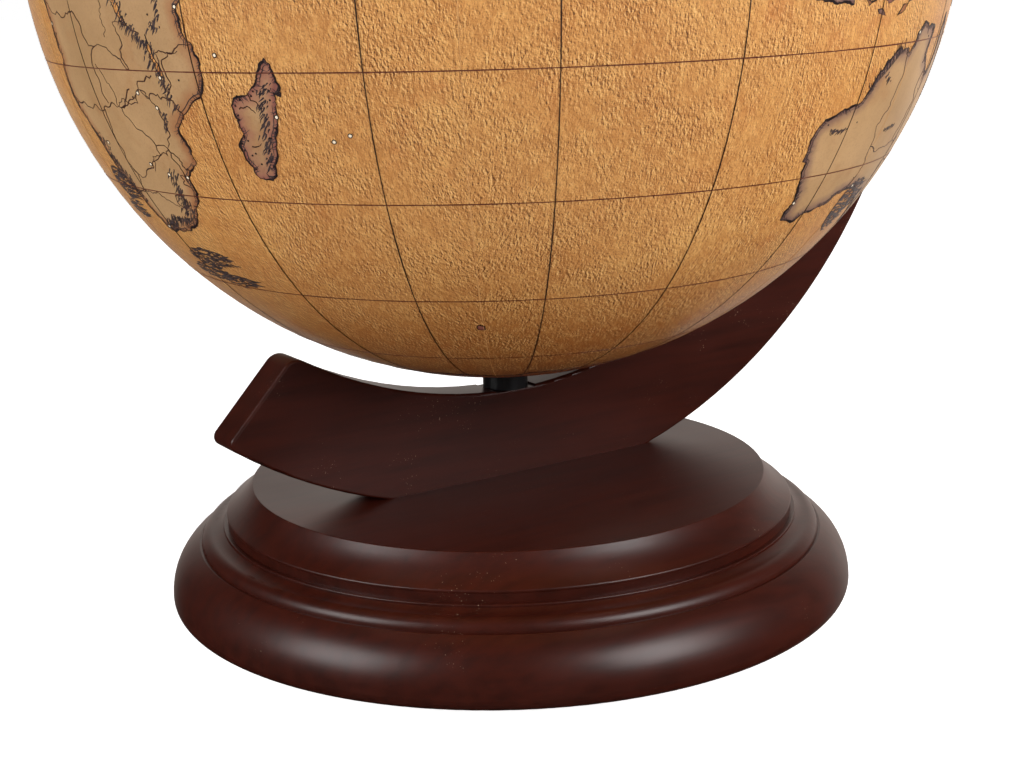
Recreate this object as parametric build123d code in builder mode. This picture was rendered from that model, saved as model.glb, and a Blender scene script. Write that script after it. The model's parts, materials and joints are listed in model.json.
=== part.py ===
from build123d import *
import os
from math import cos, degrees, radians, sin, sqrt

# Desktop globe on a wooden stand, in millimetres, +Z up.
# The origin is on the floor, under the ball's vertical spin axis.
# The arm lies in the XZ plane and bows out towards +X.

os.makedirs("parts", exist_ok=True)

# ---- ball -------------------------------------------------------------
ball_radius = 150.0  # outside of the printed map
ball_centre_z = 229.0
map_thickness = 0.3
shell_thickness = 2.0
shell_radius = ball_radius - map_thickness
shell_inner_radius = shell_radius - shell_thickness
tape_width = 6.0  # paper tape over the joint between the two halves
tape_thickness = 0.25
joint_ring_height = 16.0
joint_ring_thickness = 2.2
joint_ring_clearance = 0.05

# ---- pole bushes, in the ball ------------------------------------------
bush_radius = 6.0
bush_bore_radius = 3.05
bush_depth = 20.0
bush_flange_radius = 7.6
bush_flange_drop = 1.7  # how far the flange stands below the pole
bush_flange_sink = 1.0  # how far the flange is drawn past the pole before it is hollowed
collar_radius = 12.0
collar_height = 4.0
bush_hole_clearance = 0.05

# ---- turned base --------------------------------------------------------
felt_thickness = 1.5
felt_radius = 104.0
base_top_z = 42.0
foot_radius = 114.0  # edge of the flat underside
foot_slope = 0.3
widest_radius = 118.75
widest_z = 6.0
ovolo_top = (108.7, 23.0)
lip_radius = 107.9  # where the bead starts, on the flat above the ovolo
bead_end = (104.0, 27.0)
lower_cove_end = (100.2, 28.2)
ledge_z = 29.1
fillet_radius = 98.5  # the plain band between the ledge and the upper cove
nose_bottom_z = 32.0
nose = (98.9, 32.9)  # lower, outer corner of the upper cove
upper_cove_middle = (93.3, 36.9)
plateau_radius = 89.4
sharp_edge_round = 0.4
nose_round = 0.7

# ---- arm ----------------------------------------------------------------
# The crescent's inner edge is round the ball's centre and its outer edge is round a
# lower point, so it thins towards the tip. Angles are from straight down, towards +X.
arm_thickness = 14.3
arm_inner_radius = 157.2
arm_inner_centre = (0.0, ball_centre_z)
arm_outer_radius = 188.1
arm_outer_centre = (2.6, ball_centre_z - 7.2)
inner_tail_angle = -32.3
outer_tail_angle = -36.3
inner_tip_angle = 192.0
outer_tip_angle = 192.3
inner_corner_round = 5.5
outer_corner_round = 3.0
arm_edge_round = 1.0
seat_length = 16.6  # flats cut across the arm's rim for the two spacers
seat_depth = 0.4
south_seat_z = ball_centre_z - arm_inner_radius - seat_depth
north_seat_z = ball_centre_z + arm_inner_radius + seat_depth

# ---- screws that hold the arm on the base ---------------------------------
screw_offset = 32.0
screw_radius = 2.5
screw_head_radius = 4.8
screw_head_height = 3.2
screw_head_round = 1.2
cross_slot_length = 5.4
cross_slot_width = 1.1
cross_slot_depth = 1.6
screw_grip_in_arm = 22.0
screw_point_length = 5.0
screw_point_taper = 24.0
screw_tip_gap = 1.0
counterbore_radius = 6.5
counterbore_depth = 12.0
screw_washer_radius = 6.0
screw_washer_thickness = 1.0
screw_clearance = 0.25

# ---- axle bolt at the south pole and pin at the north pole -----------------
axle_radius = 3.0
bolt_head_radius = 5.0
bolt_head_height = 6.0
bolt_socket_flats = 5.0
bolt_socket_depth = 3.0
bolt_washer_radius = 5.2
bolt_washer_thickness = 1.0
bolt_recess_radius = 5.5
bolt_recess_depth = 9.0
axle_reach = 16.0  # how far each axle goes into the ball
axle_end_chamfer = 0.6
north_pin_grip = 14.0
north_pin_tip_gap = 1.0
hole_clearance = 0.05
spacer_radius = 7.8
spacer_edge_round = 0.4
friction_washer_thickness = 0.5
running_gap = 0.1

south_pole_z = ball_centre_z - ball_radius
north_pole_z = ball_centre_z + ball_radius
south_flange_z = south_pole_z - bush_flange_drop
north_flange_z = north_pole_z + bush_flange_drop
recess_top_z = base_top_z + bolt_recess_depth


def finish(builder, label):
    """Names a finished piece and writes it to its own file."""
    builder.part.label = label
    export_step(builder.part, f"parts/{label}.step")


def on_circle(centre, radius, angle):
    """A point in the arm's plane, by its angle round a centre from straight down."""
    turn = radians(angle)
    return (centre[0] + radius * sin(turn), centre[1] - radius * cos(turn))


def inner_edge(angle):
    return on_circle(arm_inner_centre, arm_inner_radius, angle)


def outer_edge(angle):
    return on_circle(arm_outer_centre, arm_outer_radius, angle)


# ======================= stand ==================================================

# Turned base: a stack of mouldings round a flat top, bored for the two arm screws.
plateau_edge = (plateau_radius, base_top_z)
lip = (lip_radius, ovolo_top[1])
ledge_corner = (lower_cove_end[0], ledge_z)
fillet_top = (fillet_radius, nose_bottom_z)
fillet_foot = (fillet_radius, ledge_z)
with BuildPart() as turned_base:
    with BuildSketch(Plane.XZ) as base_profile:
        with BuildLine():
            Line((0, felt_thickness), (foot_radius, felt_thickness))
            Spline(
                (foot_radius, felt_thickness),
                (widest_radius, widest_z),
                tangents=[(1, foot_slope), (0, 1)],
            )
            TangentArc((widest_radius, widest_z), ovolo_top, tangent=(0, 1))
            Line(ovolo_top, lip)
            bead = TangentArc(lip, bead_end, tangent=(0, 1))
            TangentArc(bead_end, lower_cove_end, tangent=bead % 1)
            Line(lower_cove_end, ledge_corner)
            Line(ledge_corner, fillet_foot)
            Line(fillet_foot, fillet_top)
            Line(fillet_top, nose)
            ThreePointArc(nose, upper_cove_middle, plateau_edge)
            Line(plateau_edge, (0, base_top_z))
            Line((0, base_top_z), (0, felt_thickness))
        make_face()
        for corner, size in (
            (ovolo_top, sharp_edge_round),
            (ledge_corner, sharp_edge_round),
            (nose, nose_round),
            (plateau_edge, sharp_edge_round),
        ):
            fillet(base_profile.vertices().sort_by_distance(corner)[0], size)
    revolve(axis=Axis.Z)
    with Locations(Plane.XY.offset(felt_thickness).rotated((180, 0, 0))):
        with Locations((-screw_offset, 0), (screw_offset, 0)):
            CounterBoreHole(
                radius=screw_radius + screw_clearance,
                counter_bore_radius=counterbore_radius,
                counter_bore_depth=counterbore_depth,
            )
finish(turned_base, "turned_base")

# Felt disc glued under the base. It hides the screws and is what the globe rests on.
with BuildPart() as felt_disc:
    with BuildSketch():
        Circle(felt_radius)
    extrude(amount=felt_thickness)
finish(felt_disc, "felt_disc")

# Arm: a flat crescent round the ball, cut flat where it stands on the base.
with BuildPart() as meridian_arm:
    with BuildSketch(Plane.XZ) as arm_outline:
        with BuildLine():
            ThreePointArc(
                outer_edge(outer_tail_angle),
                outer_edge((outer_tail_angle + outer_tip_angle) / 2),
                outer_edge(outer_tip_angle),
            )
            Line(outer_edge(outer_tip_angle), inner_edge(inner_tip_angle))
            ThreePointArc(
                inner_edge(inner_tip_angle),
                inner_edge((inner_tail_angle + inner_tip_angle) / 2),
                inner_edge(inner_tail_angle),
            )
            Line(inner_edge(inner_tail_angle), outer_edge(outer_tail_angle))
        make_face()
        for corner, size in (
            (inner_edge(inner_tail_angle), inner_corner_round),
            (inner_edge(inner_tip_angle), inner_corner_round),
            (outer_edge(outer_tail_angle), outer_corner_round),
            (outer_edge(outer_tip_angle), outer_corner_round),
        ):
            fillet(arm_outline.vertices().sort_by_distance(corner)[0], size)
    extrude(amount=arm_thickness / 2, both=True)
    side_faces = meridian_arm.faces().filter_by(Plane.XZ)
    fillet(side_faces.edges(), arm_edge_round)
    split(bisect_by=Plane.XY.offset(base_top_z), keep=Keep.TOP)
    # flats across the rim for the two spacers
    with BuildSketch(Plane.XY.offset(south_seat_z)):
        Rectangle(seat_length, 2 * arm_thickness)
    extrude(amount=arm_inner_radius / 2, mode=Mode.SUBTRACT)
    with BuildSketch(Plane.XY.offset(north_seat_z)):
        Rectangle(seat_length, 2 * arm_thickness)
    extrude(amount=-arm_inner_radius / 2, mode=Mode.SUBTRACT)
    # recess and bore for the axle bolt, from under the arm
    with BuildSketch(Plane.XY.offset(base_top_z)):
        Circle(bolt_recess_radius)
    extrude(amount=bolt_recess_depth, mode=Mode.SUBTRACT)
    with BuildSketch(Plane.XY.offset(recess_top_z)):
        Circle(axle_radius + hole_clearance)
    extrude(amount=south_seat_z - recess_top_z, mode=Mode.SUBTRACT)
    # blind bore for the north pin
    with BuildSketch(Plane.XY.offset(north_seat_z)):
        Circle(axle_radius + hole_clearance)
    extrude(amount=north_pin_grip, mode=Mode.SUBTRACT)
    # pilot holes for the two screws from the base
    with BuildSketch(Plane.XY.offset(base_top_z)):
        with Locations((-screw_offset, 0), (screw_offset, 0)):
            Circle(screw_radius + hole_clearance)
    extrude(amount=screw_grip_in_arm, mode=Mode.SUBTRACT)
finish(meridian_arm, "meridian_arm")

# Two wood screws, driven up through the base into the arm, with a washer under each head.
screw_seat_z = felt_thickness + counterbore_depth
screw_head_z = screw_seat_z - screw_washer_thickness
screw_tip_z = base_top_z + screw_grip_in_arm - screw_tip_gap
screw_places = [(-screw_offset, 0), (screw_offset, 0)]
with BuildPart() as arm_screws:
    with BuildSketch(Plane.XY.offset(screw_head_z - screw_head_height)):
        with Locations(*screw_places):
            Circle(screw_head_radius)
    extrude(amount=screw_head_height)
    head_rims = arm_screws.edges().filter_by(GeomType.CIRCLE).group_by(Axis.Z)[0]
    fillet(head_rims, screw_head_round)
    with BuildSketch(Plane.XY.offset(screw_head_z)):
        with Locations(*screw_places):
            Circle(screw_radius)
    extrude(amount=screw_tip_z - screw_point_length - screw_head_z)
    with BuildSketch(Plane.XY.offset(screw_tip_z - screw_point_length)):
        with Locations(*screw_places):
            Circle(screw_radius)
    extrude(amount=screw_point_length, taper=screw_point_taper)
    with BuildSketch(Plane.XY.offset(screw_head_z - screw_head_height)):
        with Locations(*screw_places):
            Rectangle(cross_slot_width, cross_slot_length)
            Rectangle(cross_slot_length, cross_slot_width)
    extrude(amount=cross_slot_depth, mode=Mode.SUBTRACT)
finish(arm_screws, "arm_screws")

with BuildPart() as screw_washers:
    with BuildSketch(Plane.XY.offset(screw_head_z)):
        with Locations(*screw_places):
            Circle(screw_washer_radius)
            Circle(screw_radius + screw_clearance, mode=Mode.SUBTRACT)
    extrude(amount=screw_washer_thickness)
finish(screw_washers, "screw_washers")

# Axle bolt: a socket-head bolt up through the arm, whose plain end is the lower axle.
bolt_head_z = recess_top_z - bolt_washer_thickness
with BuildPart() as axle_bolt:
    with BuildSketch(Plane.XY.offset(bolt_head_z - bolt_head_height)):
        Circle(bolt_head_radius)
    extrude(amount=bolt_head_height)
    with BuildSketch(Plane.XY.offset(bolt_head_z - bolt_head_height)):
        RegularPolygon(bolt_socket_flats / 2, 6, major_radius=False)
    extrude(amount=bolt_socket_depth, mode=Mode.SUBTRACT)
    with BuildSketch(Plane.XY.offset(bolt_head_z)):
        Circle(axle_radius)
    extrude(amount=south_pole_z + axle_reach - bolt_head_z)
    chamfer(axle_bolt.edges().group_by(Axis.Z)[-1], axle_end_chamfer)
finish(axle_bolt, "axle_bolt")

with BuildPart() as axle_bolt_washer:
    with BuildSketch(Plane.XY.offset(bolt_head_z)):
        Circle(bolt_washer_radius)
        Circle(axle_radius + hole_clearance, mode=Mode.SUBTRACT)
    extrude(amount=bolt_washer_thickness)
finish(axle_bolt_washer, "axle_bolt_washer")

# Black spacer on the arm's rim, with a thin friction washer that the ball's bush turns on.
friction_top_z = south_flange_z - running_gap
spacer_top_z = friction_top_z - friction_washer_thickness
with BuildPart() as south_spacer:
    with BuildSketch(Plane.XY.offset(south_seat_z)):
        Circle(spacer_radius)
        Circle(axle_radius + hole_clearance, mode=Mode.SUBTRACT)
    extrude(amount=spacer_top_z - south_seat_z)
    outer_rims = south_spacer.edges().filter_by(GeomType.CIRCLE).sort_by(SortBy.RADIUS)[-2:]
    fillet(outer_rims, spacer_edge_round)
finish(south_spacer, "south_spacer")

with BuildPart() as friction_washer:
    with BuildSketch(Plane.XY.offset(spacer_top_z)):
        Circle(spacer_radius - spacer_edge_round)
        Circle(axle_radius + hole_clearance, mode=Mode.SUBTRACT)
    extrude(amount=friction_washer_thickness)
finish(friction_washer, "friction_washer")

# North pin, pressed into the arm's rim, and the spacer round it.
north_pin_top_z = north_seat_z + north_pin_grip - north_pin_tip_gap
north_pin_end_z = north_pole_z - axle_reach
with BuildPart() as north_pin:
    with BuildSketch(Plane.XY.offset(north_pin_end_z)):
        Circle(axle_radius)
    extrude(amount=north_pin_top_z - north_pin_end_z)
    chamfer(north_pin.edges().filter_by(GeomType.CIRCLE), axle_end_chamfer)
finish(north_pin, "north_pin")

north_spacer_bottom_z = north_flange_z + running_gap
with BuildPart() as north_spacer:
    with BuildSketch(Plane.XY.offset(north_spacer_bottom_z)):
        Circle(spacer_radius)
        Circle(axle_radius + hole_clearance, mode=Mode.SUBTRACT)
    extrude(amount=north_seat_z - north_spacer_bottom_z)
    outer_rims = north_spacer.edges().filter_by(GeomType.CIRCLE).sort_by(SortBy.RADIUS)[-2:]
    fillet(outer_rims, spacer_edge_round)
finish(north_spacer, "north_spacer")

# ======================= ball ====================================================

pole_hole_radius = bush_radius + bush_hole_clearance


def dome_point(radius, elevation):
    """A point on a sphere round the ball's centre, at an angle above the equator."""
    rise = radians(elevation)
    return (radius * cos(rise), ball_centre_z + radius * sin(rise))


def dome(outer, inner, low, high, hole_side=0):
    """A hollow sphere between two elevations, with a hole at the pole on one side."""
    middle = (low + high) / 2
    with BuildPart() as shell:
        with BuildSketch(Plane.XZ):
            with BuildLine():
                ThreePointArc(
                    dome_point(outer, low),
                    dome_point(outer, middle),
                    dome_point(outer, high),
                )
                Line(dome_point(outer, high), dome_point(inner, high))
                ThreePointArc(
                    dome_point(inner, high),
                    dome_point(inner, middle),
                    dome_point(inner, low),
                )
                Line(dome_point(inner, low), dome_point(outer, low))
            make_face()
        revolve(axis=Axis.Z)
        if hole_side:
            with BuildSketch(Plane.XY.offset(ball_centre_z)):
                Circle(pole_hole_radius)
            extrude(amount=hole_side * 2 * ball_radius, mode=Mode.SUBTRACT)
    return shell


# Two plastic half shells and the two halves of the printed map glued over them.
finish(dome(shell_radius, shell_inner_radius, 0, 90, 1), "northern_shell")
finish(dome(shell_radius, shell_inner_radius, -90, 0, -1), "southern_shell")
finish(dome(ball_radius, shell_radius, 0, 90, 1), "northern_map")
finish(dome(ball_radius, shell_radius, -90, 0, -1), "southern_map")

# Joining ring, inside the ball across the joint of the two shells.
ring_bottom_z = ball_centre_z - joint_ring_height / 2
ring_outer_radius = sqrt(shell_inner_radius**2 - (joint_ring_height / 2) ** 2)
with BuildPart() as joint_ring:
    with BuildSketch(Plane.XY.offset(ring_bottom_z)):
        Circle(ring_outer_radius - joint_ring_clearance)
        Circle(ring_outer_radius - joint_ring_thickness, mode=Mode.SUBTRACT)
    extrude(amount=joint_ring_height)
finish(joint_ring, "joint_ring")

# Equator tape: a thin paper band over the joint, following the outside of the map.
tape_reach = degrees(tape_width / 2 / ball_radius)
tape_radius = ball_radius + tape_thickness
finish(dome(tape_radius, ball_radius, -tape_reach, tape_reach), "equator_tape")


def pole_bush(side):
    """Flanged bush in a pole hole. Its flange is hollowed to sit on the ball."""
    pole_z = ball_centre_z + side * ball_radius
    flange_z = pole_z + side * bush_flange_drop
    with BuildPart() as bush:
        with BuildSketch(Plane.XY.offset(flange_z)):
            Circle(bush_flange_radius)
        extrude(amount=-side * (bush_flange_drop + bush_flange_sink))
        fillet(bush.edges().sort_by(Axis.Z)[-1 if side > 0 else 0], spacer_edge_round)
        with Locations((0, 0, ball_centre_z)):
            Sphere(ball_radius, mode=Mode.SUBTRACT)
        with BuildSketch(Plane.XY.offset(flange_z - side * bush_flange_drop / 2)):
            Circle(bush_radius)
        extrude(amount=-side * (bush_depth + bush_flange_drop / 2))
        with BuildSketch(Plane.XY.offset(flange_z)):
            Circle(bush_bore_radius)
        extrude(amount=-side * (bush_depth + 2 * bush_flange_drop), mode=Mode.SUBTRACT)
    return bush


def bush_collar(side):
    """Collar that locks the bush. Its outer rim bears on the inside of the shell."""
    seat_z = ball_centre_z + side * sqrt(shell_inner_radius**2 - collar_radius**2)
    with BuildPart() as collar:
        with BuildSketch(Plane.XY.offset(seat_z)):
            Circle(collar_radius)
            Circle(pole_hole_radius, mode=Mode.SUBTRACT)
        extrude(amount=-side * collar_height)
    return collar


finish(pole_bush(-1), "south_bush")
finish(pole_bush(1), "north_bush")
finish(bush_collar(-1), "south_collar")
finish(bush_collar(1), "north_collar")
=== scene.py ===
"""Visual model of a desktop globe on a wooden stand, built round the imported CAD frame."""

import json
import math
import random

import bmesh
import bpy
import numpy as np
from mathutils import Matrix, Vector
from mathutils.geometry import delaunay_2d_cdt


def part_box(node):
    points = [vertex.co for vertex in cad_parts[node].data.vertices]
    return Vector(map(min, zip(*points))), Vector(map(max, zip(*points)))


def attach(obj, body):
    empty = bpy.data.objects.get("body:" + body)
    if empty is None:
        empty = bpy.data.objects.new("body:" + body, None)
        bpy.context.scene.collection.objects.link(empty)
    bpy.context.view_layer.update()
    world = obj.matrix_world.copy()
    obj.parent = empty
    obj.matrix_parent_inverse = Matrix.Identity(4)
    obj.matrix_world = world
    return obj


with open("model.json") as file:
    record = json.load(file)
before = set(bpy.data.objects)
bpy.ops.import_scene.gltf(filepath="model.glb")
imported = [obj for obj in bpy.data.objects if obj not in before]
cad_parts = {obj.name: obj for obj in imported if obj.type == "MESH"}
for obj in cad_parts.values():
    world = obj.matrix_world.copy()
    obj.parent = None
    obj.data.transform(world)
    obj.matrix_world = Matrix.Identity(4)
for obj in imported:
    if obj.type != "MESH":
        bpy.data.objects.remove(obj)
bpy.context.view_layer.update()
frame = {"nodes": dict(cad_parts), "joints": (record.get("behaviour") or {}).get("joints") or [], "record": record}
scene = bpy.context.scene
scene.view_settings.view_transform = "Standard"
chance = random.Random(7)

# ---- sizes, in metres -------------------------------------------------------------

MM = 0.001
BALL_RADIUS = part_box("southern_map")[1].x
BALL_CENTRE = np.array((0, 0, frame["joints"][0]["pos_m"][2]))

# Heights of the printed layers above the paper.
LAND_LIFT = 0.03 * MM
LAKE_LIFT = 0.045 * MM
TONE_LIFT = 0.06 * MM
INK_LIFT = 0.08 * MM
GRID_LIFT = 0.1 * MM
DOT_LIFT = 0.12 * MM
LAYER_THICKNESS = 0.06 * MM

# Turn of the printed map on the ball, and its slip along the meridians, in degrees.
PRINT_TURN = -196.24
PRINT_SLIP = -1.5

# The grid and the paper gores, in degrees.
MERIDIAN_GAP = 20
PARALLEL_GAP = 15
GORE_DEGREES = 30
GORE_FIRST = 10

# ======================= the drawn map: (latitude, longitude) =======================

AFRICA = [
    (35.8, -5.9), (35.2, -2.9), (36.8, 3.1), (37.3, 9.8), (35.5, 11), (34, 10.1), (32.8, 13.2),
    (32.4, 15.2), (30.3, 19.2), (31, 20.1), (32.9, 21.8), (31.6, 25.1), (30.9, 29.1), (31.5, 31),
    (31.2, 32.6), (29.9, 32.6), (27.2, 33.8), (24, 35.5), (20.9, 37.2), (18, 38.5), (15.6, 39.5),
    (12.7, 43.1), (11.6, 43.2), (10.5, 44.4), (11.2, 47.5), (11.9, 51.2), (10.4, 51.3), (8, 50),
    (5.3, 48.5), (2, 45.4), (-0.4, 42.5), (-2.3, 40.9), (-4, 39.7), (-6.8, 39.3), (-8.8, 39.4),
    (-10.7, 40.6), (-14.5, 40.8), (-16.2, 39.9), (-18, 37), (-19.8, 34.8), (-22, 35.3),
    (-23.8, 35.5), (-25.1, 33.6), (-26, 32.6), (-28.3, 32.4), (-30, 31), (-31.6, 29.5),
    (-33, 28), (-34, 25.6), (-34.2, 22.1), (-34.8, 20), (-34.2, 18.4), (-32.7, 18),
    (-30.6, 17.3), (-28.6, 16.5), (-26.6, 15.1),
    (-22.9, 14.5), (-19, 12.6), (-17.3, 11.8), (-15.2, 12.1), (-12.4, 13.5), (-8.8, 13.2),
    (-6, 12.3), (-2.5, 9.7), (0.4, 9.4), (4, 9.6), (4.5, 8), (4.3, 6.1), (6.2, 4.5), (6.1, 1.2),
    (4.8, -2.1), (5.2, -4), (4.4, -7.6), (6.3, -10.8), (8.4, -13.2), (11.5, -16), (14.7, -17.5),
    (18.1, -16), (20.8, -17.1), (23.7, -15.9), (27.9, -12.9), (29.5, -10.1), (31.5, -9.8),
    (33.6, -7.6),
]
MADAGASCAR = [
    (-12, 49.3), (-12.5, 48.8), (-13.4, 48.2), (-14.8, 47.5), (-15.8, 46.3), (-16.2, 44.5),
    (-18, 44), (-20.2, 44.4), (-21.7, 43.3), (-23.4, 43.7), (-25, 44.1), (-25.6, 45.2),
    (-25, 47), (-23, 47.8), (-21.2, 48.4), (-18.2, 49.4), (-16.8, 49.7), (-15.6, 49.6),
    (-15.9, 50.3), (-15, 50.5), (-13.4, 50),
]
AUSTRALIA = [
    (-15, 124.8), (-16.3, 123.4), (-16.9, 122.6), (-18, 122.2), (-19.8, 120.8), (-20.3, 118.6),
    (-20.7, 116.8), (-21.8, 114.2), (-24, 113.4), (-26.2, 113.3), (-26.4, 114.2),
    (-27.7, 114.1), (-28.8, 114.6), (-32, 115.7), (-33.6, 115), (-34.4, 115.2), (-35, 118),
    (-34, 120), (-33.9, 122), (-33.5, 124), (-32.3, 126.2), (-31.7, 129), (-31.5, 131.2), (-32.5, 134),
    (-34.9, 135.5), (-32.8, 137.8), (-35.2, 136.9), (-34.8, 138.4), (-35.6, 138.8), (-38, 140.6),
    (-38.8, 143.5), (-38.1, 144.8), (-39.1, 146.4), (-37.6, 149.9), (-34, 151.2), (-31, 153),
    (-28.2, 153.6), (-25, 153.2), (-23, 150.9), (-20.3, 148.8), (-19, 146.5), (-16.8, 145.9),
    (-14.6, 144.8), (-10.8, 142.5), (-14.5, 141.6), (-17.5, 140.9), (-17.3, 139), (-15.5, 136.5),
    (-12.2, 136.8), (-12.1, 134), (-11.4, 132), (-12.5, 130.7), (-14.8, 129.5), (-13.9, 126.6),
]
EURASIA = [
    (36, -5.6), (37, -8.9), (38.7, -9.4), (43.2, -9.2), (43.4, -1.6), (46.2, -1.3), (48.4, -4.7),
    (48.7, -1.6), (49.7, -1.9), (49.4, 0.2), (51, 1.7), (52.4, 4.6), (53.4, 6.8), (53.6, 8.6),
    (55.6, 8.1), (57.6, 10.5), (56, 10.4), (54.6, 10), (54.3, 14.2), (54.7, 18.6), (55.5, 21.1),
    (57.5, 21.6), (57.2, 24.2), (59.3, 24.5), (60, 29.5), (60.2, 25), (60.7, 21.3), (63, 21.3),
    (65.7, 25), (65.8, 22.3), (63, 18.3), (60.6, 17.2), (58.8, 17.6), (56.2, 16.3), (55.4, 13.2),
    (58, 11.5), (59.2, 10.6), (58, 7.2), (60.5, 5), (62.5, 6), (65, 11.5), (68.2, 14.8),
    (70, 19.5), (71.1, 25.8), (69.8, 31), (67.7, 40.8), (66.2, 40), (66.7, 33), (64.3, 35),
    (65, 39.5), (66, 43.5), (67.7, 44.2), (68.5, 48), (68.8, 55), (69.5, 60.5), (69.2, 67),
    (72.8, 69), (71.5, 72.5), (67, 72), (68, 75), (72, 75), (73.5, 81), (75.5, 88), (76.5, 98),
    (77.7, 104.3), (74, 110), (73.3, 121), (71.5, 129), (72.8, 140.5), (71, 152), (69.6, 161),
    (69.9, 170.5), (68.8, 178.5), (66.5, 189), (64.4, 186.8), (62.5, 179.5), (60, 170.3),
    (60, 164), (56, 162.8), (51, 156.8), (57, 156.7), (61.7, 163.8), (61.8, 160), (59.3, 154.5),
    (59.5, 149), (59.2, 143.5), (54.5, 136), (53.2, 141), (48, 140.3), (43, 132.5),
    (42.3, 130.7), (39.5, 127.6), (37, 129.4), (35.2, 129), (34.5, 126.5), (37.5, 126.6),
    (39.7, 125), (38.9, 121.3), (40.8, 121.8), (38.6, 117.7), (37.4, 122.5), (34.5, 119.8),
    (31.8, 121.8), (28.3, 121.5), (25.3, 119.3), (22.6, 114.5), (20.5, 110.4), (21.6, 108.5),
    (19, 105.7), (16, 108.2), (12, 109.3), (10.4, 107), (8.7, 104.8), (10.5, 104.5),
    (12.5, 101.8), (13.5, 100.4), (9.5, 99.3), (6.5, 101.8), (1.4, 104.1), (3.5, 101),
    (7.5, 99.2), (13, 98.5), (16.5, 97), (16, 94.3), (20, 92.8), (22.5, 91), (21.7, 88.2),
    (19.7, 85.5), (16.3, 81.5), (15.3, 80.1), (10.3, 79.8), (8.1, 77.5), (12.5, 74.9),
    (19, 72.8), (21, 72.7), (20.8, 70.8), (22.4, 69), (24, 67.3), (25.3, 64.5), (25.7, 57.5),
    (27.1, 56.4), (26.5, 54), (30, 50), (29.5, 48), (26, 50.2), (24.2, 51.8), (26.3, 56.3),
    (22.5, 59.8), (17, 54.8), (13, 45), (12.7, 43.5), (17, 42.5), (21.5, 39), (28, 34.6),
    (29.5, 34.9), (27.8, 34.3), (29.9, 32.7), (31.2, 32.7), (31.5, 34.5), (34.5, 35.8),
    (36.7, 36.1), (36.2, 32.5), (36.7, 29), (38.5, 26.5), (40.2, 26), (40.9, 29), (41.4, 32),
    (41.1, 38), (41.6, 41.6), (44.6, 37.8), (46.5, 38), (47.2, 39), (46, 35.3), (44.5, 33.8),
    (46.3, 32.5), (46.5, 30.8), (43.3, 28), (41.2, 28.7), (40.4, 26.5), (40.7, 23.7), (38, 24),
    (36.6, 22.8), (38.5, 21), (41.9, 19.4), (45, 14.8), (45.6, 12.5), (43.9, 12.8), (41.9, 16),
    (40.2, 18.4), (40.4, 17), (38, 15.9), (40.7, 14.3), (43.5, 10.3), (44.3, 8.8), (43.1, 6),
    (43.2, 3.5), (41.6, 2.8), (38.8, 0.2), (36.8, -2.2),
]
NORTH_AMERICA = [
    (65.6, -168), (66.5, -162), (68.3, -166.5), (71.3, -156.6), (70, -141), (69.5, -133),
    (70, -125), (68.5, -114), (68, -108), (68.3, -97), (71.8, -95), (69.5, -90), (68.8, -82),
    (66.5, -86), (64, -88), (61, -94.5), (58.8, -94.3), (57, -91), (55.2, -83), (52.8, -82.2),
    (51.3, -80), (54.8, -79.5), (58.8, -78.3), (62.5, -77.5), (61, -70), (58.5, -67.5),
    (60.3, -64.7), (55.5, -59.5), (52, -55.7), (50.2, -60), (49.2, -67), (49, -64.3),
    (46.2, -64.5), (45.5, -61), (43.6, -65.8), (45.2, -66.5), (43.7, -70), (41.7, -70),
    (40.6, -73.8), (38.9, -74.9), (37, -76), (35.2, -75.6), (33, -79.3), (30.7, -81.4),
    (25.5, -80.2), (26, -81.8), (29.8, -83.8), (30.3, -88), (29.2, -90), (29.5, -94.5),
    (26, -97.2), (22.3, -97.8), (18.7, -95.8), (18.6, -92), (21.3, -90), (21.5, -87),
    (17.6, -88), (15.8, -86), (15, -83.2), (10.9, -83.6), (9.3, -80), (8.7, -77.4),
    (7.2, -77.9), (8.9, -79.5), (7.3, -80.4), (8.4, -83), (11.5, -86.5), (13.3, -88.5),
    (14.3, -92.3), (16.2, -95), (16.8, -99.8), (20.5, -105.6), (23.2, -106.5), (27.8, -110.6),
    (31.3, -113), (31.6, -114.8), (28.5, -112.8), (24.2, -110.5), (22.9, -109.9),
    (24.8, -112.2), (27.8, -115), (32.5, -117.2), (34.5, -120.5), (40.4, -124.4),
    (48.3, -124.6), (49.3, -123.2), (54.2, -130.3), (58.3, -135), (60, -141.5), (60.9, -147),
    (59.3, -151.8), (56, -158.5), (54.8, -164.5), (58.5, -157.3), (60.5, -165), (63, -164.5),
    (64.5, -161),
]
SOUTH_AMERICA = [
    (8.6, -77.2), (11.2, -74.3), (12.3, -71.7), (10.9, -71.6), (11.5, -69.8), (10.6, -66),
    (10.7, -62), (8.5, -60), (6, -55.2), (4.5, -51.7), (0, -50), (-1, -48), (-2.8, -42),
    (-3.6, -38.5), (-5.2, -35.4), (-8.2, -34.8), (-12.9, -38.4), (-17.8, -39.2), (-22.9, -41.9),
    (-23.9, -46), (-25.8, -48.5), (-28.8, -49.2), (-33, -52.5), (-34.8, -55), (-33.9, -58.3),
    (-36.4, -56.8), (-38.7, -61), (-40.9, -62.6), (-42.5, -64), (-45.5, -66.5), (-47.5, -65.8),
    (-51.6, -69), (-54.5, -67), (-55.3, -68.5), (-52.5, -74.5), (-46.8, -75.5), (-42, -73.8),
    (-37.2, -73.5), (-30, -71.5), (-23.5, -70.4), (-18.3, -70.4), (-15.8, -74.5),
    (-11.8, -77.2), (-6, -81.1), (-3.4, -80), (-1, -80.8), (1.7, -79), (4, -77.4), (7.1, -77.8),
]
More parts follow.
